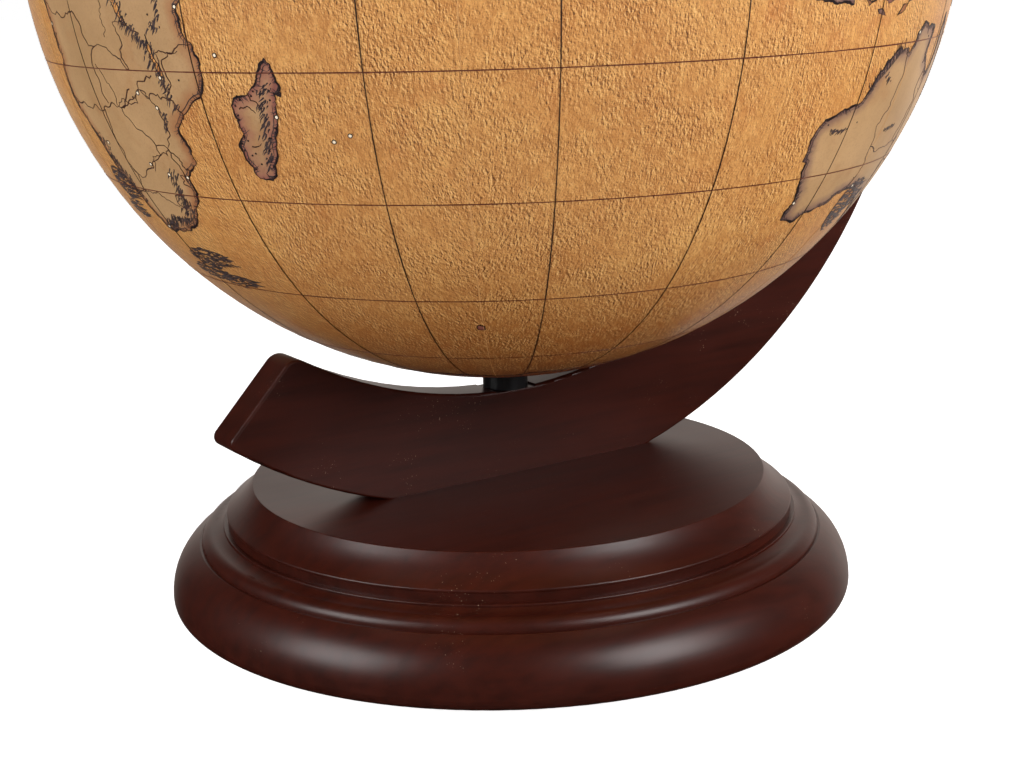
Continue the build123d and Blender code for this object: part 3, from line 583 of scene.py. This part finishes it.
def printed_sea():
    """Golden parchment print with short strokes along the meridians, each with a painted shadow and a painted
    highlight beside it that make it look embossed.
    """
    shader = Shader("printed_sea", **VARNISH)
    colour = paper_colour(shader, srgb(210, 152, 82), srgb(188, 124, 60), srgb(176, 96, 40))
    place = gore_place(shader, 0.5)
    # Two offset noises give a relief whose sides are painted: dark where it rises (painted shadow), light where it
    # falls (painted highlight).
    ridge = shader.noise(place, 1250.0, 3.0, 0.7)
    beside = shader.noise(shifted(shader, place, (0.0003, 0.0001, 0)), 1250.0, 3.0, 0.7)
    relief_light_and_shade = shader.sum("SUBTRACT", ridge, beside)
    strength = shader.ramp(shader.noise(shader.place(), 70.0, 4.0, 0.6), 0.35, 0.65, 0.5, 1.3)
    relief_light_and_shade = shader.sum("MULTIPLY", relief_light_and_shade, strength)
    mottle = shader.noise(place, 420.0, 5.0, 0.75)
    colour = shader.mix(shader.ramp(mottle, 0.45, 0.75, 0, 0.7), colour, srgb(158, 98, 44))
    colour = shader.mix(shader.ramp(mottle, 0.5, 0.25, 0, 0.5), colour, srgb(236, 186, 112))
    # Painted shadow on one side of each stroke and painted highlight on the other, in place of light on a real
    # relief.
    colour = shader.mix(shader.ramp(relief_light_and_shade, 0.02, 0.17, 0, 0.95), colour, srgb(84, 44, 16))
    colour = shader.mix(shader.ramp(relief_light_and_shade, -0.03, -0.19, 0, 0.7), colour, srgb(242, 198, 130))
    grain = shader.noise(place, 3000.0, 2.0, 0.6)
    colour = shader.mix(shader.ramp(grain, 0.5, 0.72, 0, 0.5), colour, srgb(124, 74, 34))
    shader.colour(colour)
    return shader.material


def printed_land():
    """Smoother, greyer land with a colour wash that fades away from the coast."""
    shader = Shader("printed_land", **VARNISH)
    colour = paper_colour(shader, srgb(184, 146, 102), srgb(162, 126, 84), srgb(158, 108, 62))
    mottle = shader.noise(shader.place(), 260.0, 4.0, 0.6)
    reach = shader.sum("ADD", shader.attribute("inland"), shader.ramp(mottle, 0.2, 0.8, -1.2, 1.2))
    wash = shader.ramp(reach, 0.0, 4.6, 0.92, 0.0)
    colour = shader.mix(wash, colour, shader.attribute("wash", "Color"))
    shade = shader.ramp(reach, -0.6, 1.3, 0.4, 0.0)
    colour = shader.mix(shade, colour, srgb(72, 46, 40))
    grain = shader.noise(shader.place(), 1500.0, 3.0)
    colour = shader.mix(shader.ramp(grain, 0.5, 0.8, 0, 0.35), colour, srgb(128, 92, 62))
    shader.colour(colour)
    return shader.material


def ink(name, dark, faded, reach=0.6):
    """Printing ink that is unevenly laid."""
    shader = Shader(name, **VARNISH)
    wear = shader.noise(shader.place(), 420.0, 3.0, 0.6)
    shader.colour(shader.mix(shader.ramp(wear, 0.45, 0.8, 0, reach), dark, faded))
    return shader.material


# The scale along the equator: how many dark blocks, how tall they are, and the line beside them.
SCALE_BLOCKS = 36.0
BLOCK_HEIGHT = 1.0 * MM
SCALE_LINE = 1.3 * MM


def printed_tape():
    """Golden tape with dark edges and the alternating blocks of a scale."""
    shader = Shader("printed_tape", **VARNISH)
    colour = paper_colour(shader, srgb(204, 152, 90), srgb(186, 130, 72), srgb(178, 102, 46))
    centred = shader.add("ShaderNodeMapping", Vector=shader.place(), Location=tuple(-BALL_CENTRE))
    axes = shader.add("ShaderNodeSeparateXYZ", i0=centred.outputs[0]).outputs
    turn = shader.sum("ARCTAN2", axes[1], axes[0])
    block = shader.sum("SINE", shader.sum("MULTIPLY", turn, SCALE_BLOCKS))
    above = shader.ramp(axes[2], -0.02 * MM, 0.02 * MM, -1, 1)
    block = shader.ramp(shader.sum("MULTIPLY", block, above), -0.02, 0.02)
    away = shader.sum("ABSOLUTE", axes[2])
    tall = shader.ramp(away, BLOCK_HEIGHT - 0.05 * MM, BLOCK_HEIGHT + 0.05 * MM, 1, 0)
    block = shader.sum("MULTIPLY", block, tall)
    colour = shader.mix(block, colour, srgb(70, 40, 26))
    off_line = shader.sum("ABSOLUTE", shader.sum("SUBTRACT", away, SCALE_LINE))
    line = shader.ramp(off_line, 0.1 * MM, 0.18 * MM, 1, 0)
    shader.colour(shader.mix(line, colour, srgb(70, 40, 26)))
    return shader.material


finishes = {
    "stained_wood": stained_wood(),
    "black_plastic": plastic("black_plastic", srgb(16, 16, 17), srgb(28, 28, 30), 0.35),
    "shell_plastic": plastic("shell_plastic", srgb(224, 218, 204), srgb(206, 200, 184), 0.5),
    "printed_map": printed_sea(),
    "printed_tape": printed_tape(),
    "felt": felt(),
    "fibre": fibre_board(),
    "steel": steel(),
}
slot_of = {entry["node"]: entry["material_slot"] for entry in frame["record"]["subparts"]}
for name, obj in frame["nodes"].items():
    for slot in obj.material_slots:
        slot.material = finishes[slot_of[name]]

# ======================= printing on the ball =========================================


def unit(points):
    """Directions on the ball, from drawn latitudes and longitudes."""
    points = np.radians(np.array(points, float) + (PRINT_SLIP, PRINT_TURN))
    latitude, turn = points[:, 0], points[:, 1]
    across = np.cos(latitude)
    return np.stack((across * np.cos(turn), across * np.sin(turn), np.sin(latitude)), axis=1)


def grid_unit(points):
    """Directions for the grid, which has no slip."""
    return unit(np.array(points, float) - (PRINT_SLIP, 0))


def normalised(vectors):
    return vectors / np.linalg.norm(vectors, axis=-1, keepdims=True)


def rough_line(line, closed, finest=0.4, wildness=0.09):
    """Adds wandering points between drawn ones until the steps are short."""
    line = list(line)
    if closed:
        line.append(line[0])
    finest = math.radians(finest)
    done = [line[0]]
    for end in line[1:]:
        waiting = [end]
        while waiting:
            start = done[-1]
            gap = waiting[-1] - start
            length = np.linalg.norm(gap)
            if length <= finest:
                done.append(waiting.pop())
                continue
            sideways = np.cross(start, gap)
            slip = chance.gauss(0, wildness)
            middle = (start + waiting[-1]) / 2 + sideways * max(-0.3, min(0.3, slip))
            waiting.append(middle / np.linalg.norm(middle))
    return np.array(done[:-1] if closed else done)


def flowing(count, low, high, waves=9.0):
    """A run of smoothly changing random values."""
    steps = np.arange(count) / 100
    total = np.zeros(count)
    for _ in range(4):
        total += np.sin(steps * chance.uniform(1, waves) * math.tau + chance.uniform(0, math.tau))
    return low + (high - low) * np.clip(total / 4 + 0.5, 0, 1)


class Print:
    """Printed shapes on the ball, gathered into one thin closed mesh."""

    def __init__(self, name, lift, material):
        self.name = name
        self.radius = BALL_RADIUS + lift
        self.material = material
        self.points = []
        self.faces = []
        self.inland = []
        self.wash = []

    def add(self, directions, faces, inland=0.0, wash=(0, 0, 0, 1)):
        start = len(self.points)
        self.points.extend(directions)
        self.faces.extend([start + corner for corner in face] for face in faces)
        self.inland.extend(np.broadcast_to(inland, len(directions)))
        self.wash.extend([wash] * len(directions))

    def ribbon(self, line, width, closed=False):
        """A stroke along a line of directions. The width may change along it."""
        if closed:
            ahead, behind = np.roll(line, -1, axis=0), np.roll(line, 1, axis=0)
        else:
            ahead = np.vstack((line[1:], line[-1:]))
            behind = np.vstack((line[:1], line[:-1]))
        sides = normalised(np.cross(line, ahead - behind))
        half = np.broadcast_to(width, len(line))[:, None] / 2 / BALL_RADIUS
        count = len(line)
        last = count if closed else count - 1
        faces = []
        for k in range(last):
            following = (k + 1) % count
            faces.append((k, k + count, following + count, following))
        self.add(np.vstack((line - sides * half, line + sides * half)), faces)

    def disc(self, centre, radius, corners=12):
        east = normalised(np.cross((0, 0, 1), centre))
        north = np.cross(centre, east)
        turns = np.arange(corners) * math.tau / corners
        reach = radius / BALL_RADIUS
        rim = centre + reach * (np.outer(np.cos(turns), east) + np.outer(np.sin(turns), north))
        self.add(normalised(rim), [tuple(range(corners))])

    def region(self, outline, wash, spacing=1.1):
        """A filled outline, with how far in from the edge each point is."""
        middle = normalised(outline.mean(axis=0))
        east = normalised(np.cross((0.3, 0.2, 1), middle))
        north = np.cross(middle, east)
        stretch = np.sqrt(2 / (1 + outline @ middle))[:, None]
        flat = stretch * np.stack((outline @ east, outline @ north), axis=1)
        step = math.radians(spacing)
        low, high = flat.min(axis=0), flat.max(axis=0)
        xs, ys = np.meshgrid(np.arange(low[0], high[0], step), np.arange(low[1], high[1], step))
        xs[1::2] += step / 2
        grid = np.stack((xs.ravel(), ys.ravel()), axis=1)
        inside = grid[within(grid, flat)]
        if len(inside):
            inside = inside[edge_distance(inside, flat) > 0.3 * step]
        points = [Vector(p) for p in np.vstack((flat, inside))]
        ring = list(range(len(flat)))
        found, _, faces, *_ = delaunay_2d_cdt(points, [], [ring], 1, 1e-7)
        found = np.array(found)
        inland = edge_distance(found, flat) * BALL_RADIUS / MM
        reach = np.linalg.norm(found, axis=1)[:, None]
        turned = 2 * np.arcsin(np.clip(reach / 2, 0, 1))
        aside = (found[:, :1] * east + found[:, 1:] * north) / np.maximum(reach, 1e-9)
        directions = np.cos(turned) * middle + np.sin(turned) * aside
        self.add(directions, faces, inland, srgb(*wash))

    def finish(self):
        mesh = bpy.data.meshes.new(self.name)
        places = BALL_CENTRE + self.radius * normalised(np.array(self.points))
        mesh.from_pydata(places.tolist(), [], self.faces)
        inland = mesh.attributes.new("inland", "FLOAT", "POINT")
        inland.data.foreach_set("value", self.inland)
        wash = mesh.attributes.new("wash", "FLOAT_COLOR", "POINT")
        wash.data.foreach_set("color", np.array(self.wash, float).ravel())
        mesh.materials.append(self.material)
        mesh.shade_smooth()
        obj = bpy.data.objects.new(self.name, mesh)
        scene.collection.objects.link(obj)
        face_outwards(mesh)
        thicken = obj.modifiers.new("thickness", "SOLIDIFY")
        thicken.thickness = LAYER_THICKNESS
        thicken.offset = -1
        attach(obj, "ball")


def face_outwards(mesh):
    """Turns over any face that looks into the ball, and keeps thin edges from shading."""
    build = bmesh.new()
    build.from_mesh(mesh)
    centre = Vector(BALL_CENTRE)
    for face in build.faces:
        if face.normal.dot(face.calc_center_median() - centre) < 0:
            face.normal_flip()
    for edge in build.edges:
        if edge.is_boundary:
            edge.smooth = False
    build.to_mesh(mesh)
    build.free()


def within(points, outline):
    """Which points lie inside a flat outline."""
    x, y = points[:, 0], points[:, 1]
    inside = np.zeros(len(points), bool)
    for (x1, y1), (x2, y2) in zip(outline, np.roll(outline, -1, axis=0)):
        if y1 == y2:
            continue
        crosses = (y1 > y) != (y2 > y)
        inside ^= crosses & (x < x1 + (y - y1) * (x2 - x1) / (y2 - y1))
    return inside


def edge_distance(points, outline):
    """How far each point is from a flat outline."""
    best = np.full(len(points), np.inf)
    for start, end in zip(outline, np.roll(outline, -1, axis=0)):
        along = end - start
        share = np.clip((points - start) @ along / max(along @ along, 1e-12), 0, 1)
        gap = points - start - share[:, None] * along
        best = np.minimum(best, (gap**2).sum(axis=1))
    return np.sqrt(best)


COAST_INK = ink("coast_ink", srgb(30, 20, 22), srgb(70, 48, 44), 0.5)
MERIDIAN_INK = ink("meridian_ink", srgb(44, 26, 18), srgb(90, 56, 34))
PARALLEL_INK = ink("parallel_ink", srgb(92, 40, 28), srgb(132, 76, 46))
BORDER_INK = ink("border_ink", srgb(62, 34, 26), srgb(110, 70, 46))
HATCH_INK = ink("hatch_ink", srgb(52, 42, 46), srgb(112, 88, 78))
SEAM_TONE = ink("seam_tone", srgb(208, 156, 96), srgb(188, 130, 72))
DOT_WHITE = ink("dot_white", srgb(236, 222, 196), srgb(210, 188, 150), 0.3)

small_islands = [(outline, chance.choice(("ochre", "rose", "olive", "violet"))) for outline in ISLANDS]
coasts = []
for outline, wash in LANDS + small_islands:
    finest = 0.35 if outline in (MADAGASCAR, AUSTRALIA) else 0.42
    coasts.append((rough_line(unit(outline), True, finest), WASHES[wash]))
shores = [rough_line(unit(outline), True, 0.3) for outline in INLAND_WATERS]


def draw_land():
    land = Print("map_land", LAND_LIFT, printed_land())
    for coast, wash in coasts:
        land.region(coast, wash)
    land.finish()
    lakes = Print("map_lakes", LAKE_LIFT, finishes["printed_map"])
    for shore in shores:
        lakes.region(shore, (0, 0, 0), 0.7)
    lakes.finish()


def draw_coastlines():
    lines = Print("map_coastlines", INK_LIFT, COAST_INK)
    for coast, _ in coasts:
        size = min(1.0, 0.3 + len(coast) / 90)
        heavy = flowing(len(coast), 0.25, 0.98) ** 1.5 * size
        lines.ribbon(coast, heavy * MM, True)
    for shore in shores:
        lines.ribbon(shore, 0.3 * MM, True)
    lines.finish()


def arc(start, end, step=1.0):
    """Evenly spaced grid points between two (latitude, longitude) places."""
    count = max(2, round(max(abs(end[0] - start[0]), abs(end[1] - start[1])) / step) + 1)
    return np.linspace(start, end, count)


def draw_grid():
    meridians = Print("map_meridians", GRID_LIFT, MERIDIAN_INK)
    for longitude in range(0, 360, MERIDIAN_GAP):
        line = grid_unit(arc((-86, longitude), (86, longitude)))
        meridians.ribbon(line, flowing(len(line), 0.26, 0.38) * MM)
    meridians.finish()
    parallels = Print("map_parallels", GRID_LIFT, PARALLEL_INK)
    for latitude in range(PARALLEL_GAP - 90, 90, PARALLEL_GAP):
        if latitude == 0:
            continue
        line = grid_unit(arc((latitude, 0), (latitude, 359)))
        parallels.ribbon(line, flowing(len(line), 0.24, 0.36) * MM, True)
    parallels.finish()
    seams = Print("map_seams", TONE_LIFT, SEAM_TONE)
    for longitude in range(GORE_FIRST, GORE_FIRST + 360, GORE_DEGREES):
        if longitude % MERIDIAN_GAP:
            line = grid_unit(arc((-84, longitude), (84, longitude)))
            seams.ribbon(line, flowing(len(line), 0.1, 0.22) * MM)
    seams.finish()


def draw_borders():
    lines = Print("map_borders", INK_LIFT, BORDER_INK)
    for border in BORDERS:
        path = rough_line(unit(border), False, 0.6, 0.12)
        lines.ribbon(path, flowing(len(path), 0.22, 0.42) * MM)
    for river in RIVERS:
        path = rough_line(unit(river), False, 0.5, 0.22)
        lines.ribbon(path, np.linspace(0.42, 0.16, len(path)) * MM)
    lines.finish()


def stroke(sheet, start, end, width):
    """A short pen stroke that tapers to its far end."""
    bend = np.cross(start, end - start) * chance.uniform(-0.12, 0.12)
    middle = (start + end) / 2 + bend
    line = normalised(np.array((start, middle, end)))
    sheet.ribbon(line, np.array((1.0, 0.75, 0.15)) * width)


def inland_directions(coast):
    """At each point of a coast, the direction that leads straight inland."""
    ahead, behind = np.roll(coast, -2, axis=0), np.roll(coast, 2, axis=0)
    left = normalised(np.cross(coast, ahead - behind))
    turning = np.cross(coast, np.roll(coast, -1, axis=0)).sum(axis=0) @ coast.mean(axis=0)
    return left * math.copysign(1, turning)


def draw_coast_shading():
    """Fine strokes that run inland from the coasts, and a second line inside them."""
    sheet = Print("map_coast_shading", INK_LIFT, HATCH_INK)
    for coast, _ in coasts[:len(LANDS)]:
        inland = inland_directions(coast)
        heavy = flowing(len(coast), 0.0, 1.0)
        for place, direction, weight in zip(coast, inland, heavy):
            if chance.random() > 0.35 + 0.6 * weight:
                continue
            lean = np.cross(place, direction) * chance.uniform(0.1, 0.9)
            reach = chance.uniform(0.6, 1.3 + 1.4 * weight) * MM / BALL_RADIUS
            stroke(sheet, place, normalised(place + reach * (direction + lean)), 0.26 * MM)
        for start in range(0, len(coast) - 30, 45):
            part = slice(start, start + chance.randint(14, 38))
            inner = normalised(coast[part] + inland[part] * 1.1 * MM / BALL_RADIUS)
            sheet.ribbon(inner, np.sin(np.linspace(0.1, 3.04, len(inner))) * 0.28 * MM)
    sheet.finish()


def draw_mountains():
    """Slanting strokes strewn along each range, all leaning the same way."""
    sheet = Print("map_mountains", INK_LIFT, HATCH_INK)
    for ridge, half_width in RANGES:
        path = rough_line(unit(ridge), False, 0.32, 0.15)
        reach = math.radians(half_width)
        for here in path[1:-1]:
            east = normalised(np.cross((0, 0, 1), here))
            north = np.cross(here, east)
            for _ in range(2):
                aside = east * chance.gauss(0, 0.3) + north * chance.gauss(0, 0.15)
                start = normalised(here + aside * reach)
                fall = east * chance.uniform(-0.8, -0.35) + north * chance.uniform(-0.9, -0.5)
                end = start + fall * reach * chance.uniform(0.4, 1.2)
                stroke(sheet, start, normalised(end), chance.uniform(0.25, 0.55) * MM)
    sheet.finish()


def draw_banks():
    sheet = Print("map_sea_hatching", INK_LIFT, HATCH_INK)
    for (latitude, longitude), (tall, wide) in BANKS:
        rows = max(6, round(tall * 7))
        for row in range(rows):
            rise = (row / (rows - 1) - 0.5) * 2
            reach = wide * math.sqrt(1.05 - rise**2) / math.cos(math.radians(latitude))
            place = -reach
            while place < reach:
                length = chance.uniform(0.8, 2.4)
                start = (latitude + rise * tall + chance.uniform(-0.1, 0.1), longitude + place)
                end = (start[0] + chance.uniform(-0.3, 0.3), start[1] + length)
                width = chance.uniform(0.5, 1.1) * MM
                stroke(sheet, *unit((start, end)), width)
                place += length * chance.uniform(0.6, 1.3)
    sheet.finish()


def draw_spiky_coast():
    """Short strokes that stand out from the steep coast of north-west Australia."""
    sheet = Print("map_cliffs", INK_LIFT, HATCH_INK)
    for share in np.linspace(0, 1, 26):
        start = np.array(CLIFFS[0]) * (1 - share) + np.array(CLIFFS[1]) * share
        end = start + (chance.uniform(0.5, 1.6), chance.uniform(-0.9, -0.2))
        stroke(sheet, *unit((start, end)), 0.45 * MM)
    sheet.finish()


TOWN_RING = 0.72 * MM
TOWN_DISC = 0.44 * MM
COAST_DOT = 0.3 * MM
COAST_DOTS = 160


def draw_towns():
    rings = Print("map_town_rings", GRID_LIFT, COAST_INK)
    discs = Print("map_town_discs", DOT_LIFT, DOT_WHITE)
    for place in unit(TOWNS):
        rings.disc(place, TOWN_RING)
        discs.disc(place, TOWN_DISC)
    for _ in range(COAST_DOTS):
        coast, _ = coasts[chance.randrange(len(LANDS))]
        beach = coast[chance.randrange(len(coast))]
        middle = normalised(coast.mean(axis=0))
        rings.disc(normalised(beach + (middle - beach) * chance.uniform(0.05, 0.4)), COAST_DOT)
    rings.finish()
    discs.finish()


draw_land()
draw_coastlines()
draw_grid()
draw_borders()
draw_mountains()
draw_coast_shading()
draw_banks()
draw_spiky_coast()
draw_towns()

# ======================= floor, light and camera ========================================

CAMERA_PLACE = Vector((-0.3204, -0.4980, 0.2209))
CAMERA_HEADING = -32.98
CAMERA_PITCH = -14.12
CAMERA_ROLL = -1.69
CAMERA_LENS = 61.56
CAMERA_SIDE = math.degrees(math.atan2(CAMERA_PLACE.y, CAMERA_PLACE.x))
FLOOR_REACH = 6.0
BACKDROP_SIDE = 170
BASE_MIDDLE = Vector((0, 0, 0.06))


def floor():
    mesh = bpy.data.meshes.new("floor")
    reach = FLOOR_REACH
    corners = [(-reach, -reach, 0), (reach, -reach, 0), (reach, reach, 0), (-reach, reach, 0)]
    mesh.from_pydata(corners, [], [(0, 1, 2, 3)])
    obj = bpy.data.objects.new("floor", mesh)
    scene.collection.objects.link(obj)
    shader = Shader("floor", Base_Color=(0.75, 0.75, 0.75, 1), Roughness=0.9)
    shader.surface.inputs["Emission Color"].default_value = (1, 1, 1, 1)
    seen = shader.add("ShaderNodeLightPath").outputs["Is Camera Ray"]
    shader.plug(shader.ramp(seen, 0.0, 1.0, 0.05, 0.95), shader.surface.inputs["Emission Strength"])
    mesh.materials.append(shader.material)
    obj.visible_glossy = False


def softbox(name, side, rise, distance, size, power, mirrored=True):
    """An area light aimed at the base, placed by its bearing from the camera's side."""
    data = bpy.data.lights.new(name, "AREA")
    data.shape = "RECTANGLE"
    data.size, data.size_y = size
    data.energy = power
    obj = bpy.data.objects.new(name, data)
    scene.collection.objects.link(obj)
    turn = math.radians(CAMERA_SIDE + side)
    rise = math.radians(rise)
    away = Vector((math.cos(rise) * math.cos(turn), math.cos(rise) * math.sin(turn), math.sin(rise)))
    obj.location = BASE_MIDDLE + distance * away
    obj.visible_glossy = mirrored
    obj.rotation_euler = away.to_track_quat("Z", "Y").to_euler()


def studio_world():
    """A bright backdrop behind the globe and a dim room elsewhere."""
    scene.world = bpy.data.worlds.new("studio")
    scene.world.use_nodes = True
    tree = scene.world.node_tree
    background = tree.nodes["Background"]

    def node(kind, **inputs):
        made = tree.nodes.new(kind)
        for name, value in inputs.items():
            socket = made.inputs[int(name[1:])] if name[1:].isdigit() else made.inputs[name]
            if isinstance(value, bpy.types.NodeSocket):
                tree.links.new(value, socket)
            else:
                socket.default_value = value
        return made

    direction = node("ShaderNodeTexCoord").outputs["Generated"]
    away = math.radians(CAMERA_SIDE + BACKDROP_SIDE)
    facing = node("ShaderNodeVectorMath", i0=direction, i1=(math.cos(away), math.sin(away), 0))
    facing.operation = "DOT_PRODUCT"
    rise = node("ShaderNodeSeparateXYZ", i0=direction).outputs[2]
    behind = node("ShaderNodeMapRange", i0=facing.outputs["Value"], i1=0.64, i2=0.92, i3=0.0, i4=1.0)
    low = node("ShaderNodeMapRange", i0=rise, i1=0.85, i2=0.35, i3=0.0, i4=1.0)
    above = node("ShaderNodeMapRange", i0=rise, i1=-0.4, i2=0.0, i3=0.5, i4=1.0)
    backdrop = node("ShaderNodeMath", i0=behind.outputs[0], i1=low.outputs[0])
    backdrop.operation = "MULTIPLY"
    backdrop = node("ShaderNodeMath", i0=backdrop.outputs[0], i1=above.outputs[0])
    backdrop.operation = "MULTIPLY"
    level = node("ShaderNodeMapRange", i0=backdrop.outputs[0], i1=0.0, i2=1.0, i3=0.015, i4=1.0)
    seen = node("ShaderNodeLightPath").outputs["Is Camera Ray"]
    level = node("ShaderNodeMath", i0=level.outputs[0], i1=seen)
    level.operation = "MAXIMUM"
    tree.links.new(level.outputs[0], background.inputs["Strength"])
    tint = node("ShaderNodeMix")
    tint.data_type = "RGBA"
    tint.inputs[6].default_value = (1, 0.88, 0.8, 1)
    tint.inputs[7].default_value = (1, 1, 1, 1)
    tree.links.new(seen, tint.inputs[0])
    tree.links.new(tint.outputs[2], background.inputs["Color"])


def camera():
    data = bpy.data.cameras.new("camera")
    data.lens = CAMERA_LENS
    data.sensor_width = 36.0
    data.clip_start = 0.01
    obj = bpy.data.objects.new("camera", data)
    scene.collection.objects.link(obj)
    turn = (
        Matrix.Rotation(math.radians(CAMERA_HEADING), 4, "Z")
        @ Matrix.Rotation(math.radians(90 + CAMERA_PITCH), 4, "X")
        @ Matrix.Rotation(math.radians(CAMERA_ROLL), 4, "Z")
    )
    obj.matrix_world = Matrix.Translation(CAMERA_PLACE) @ turn
    scene.camera = obj


floor()
studio_world()
# name, side, rise, distance, size, power, seen in reflections
softbox("key", 50, 29, 1.5, (0.75, 0.75), 20)
softbox("fill", -60, 26, 1.5, (0.75, 0.7), 16)
softbox("front", 0, -2, 1.6, (1.2, 0.5), 6, False)
softbox("right_wing", 105, -2, 1.4, (1.0, 0.6), 14, False)
softbox("left_wing", -110, -2, 1.4, (1.0, 0.6), 6, False)
camera()
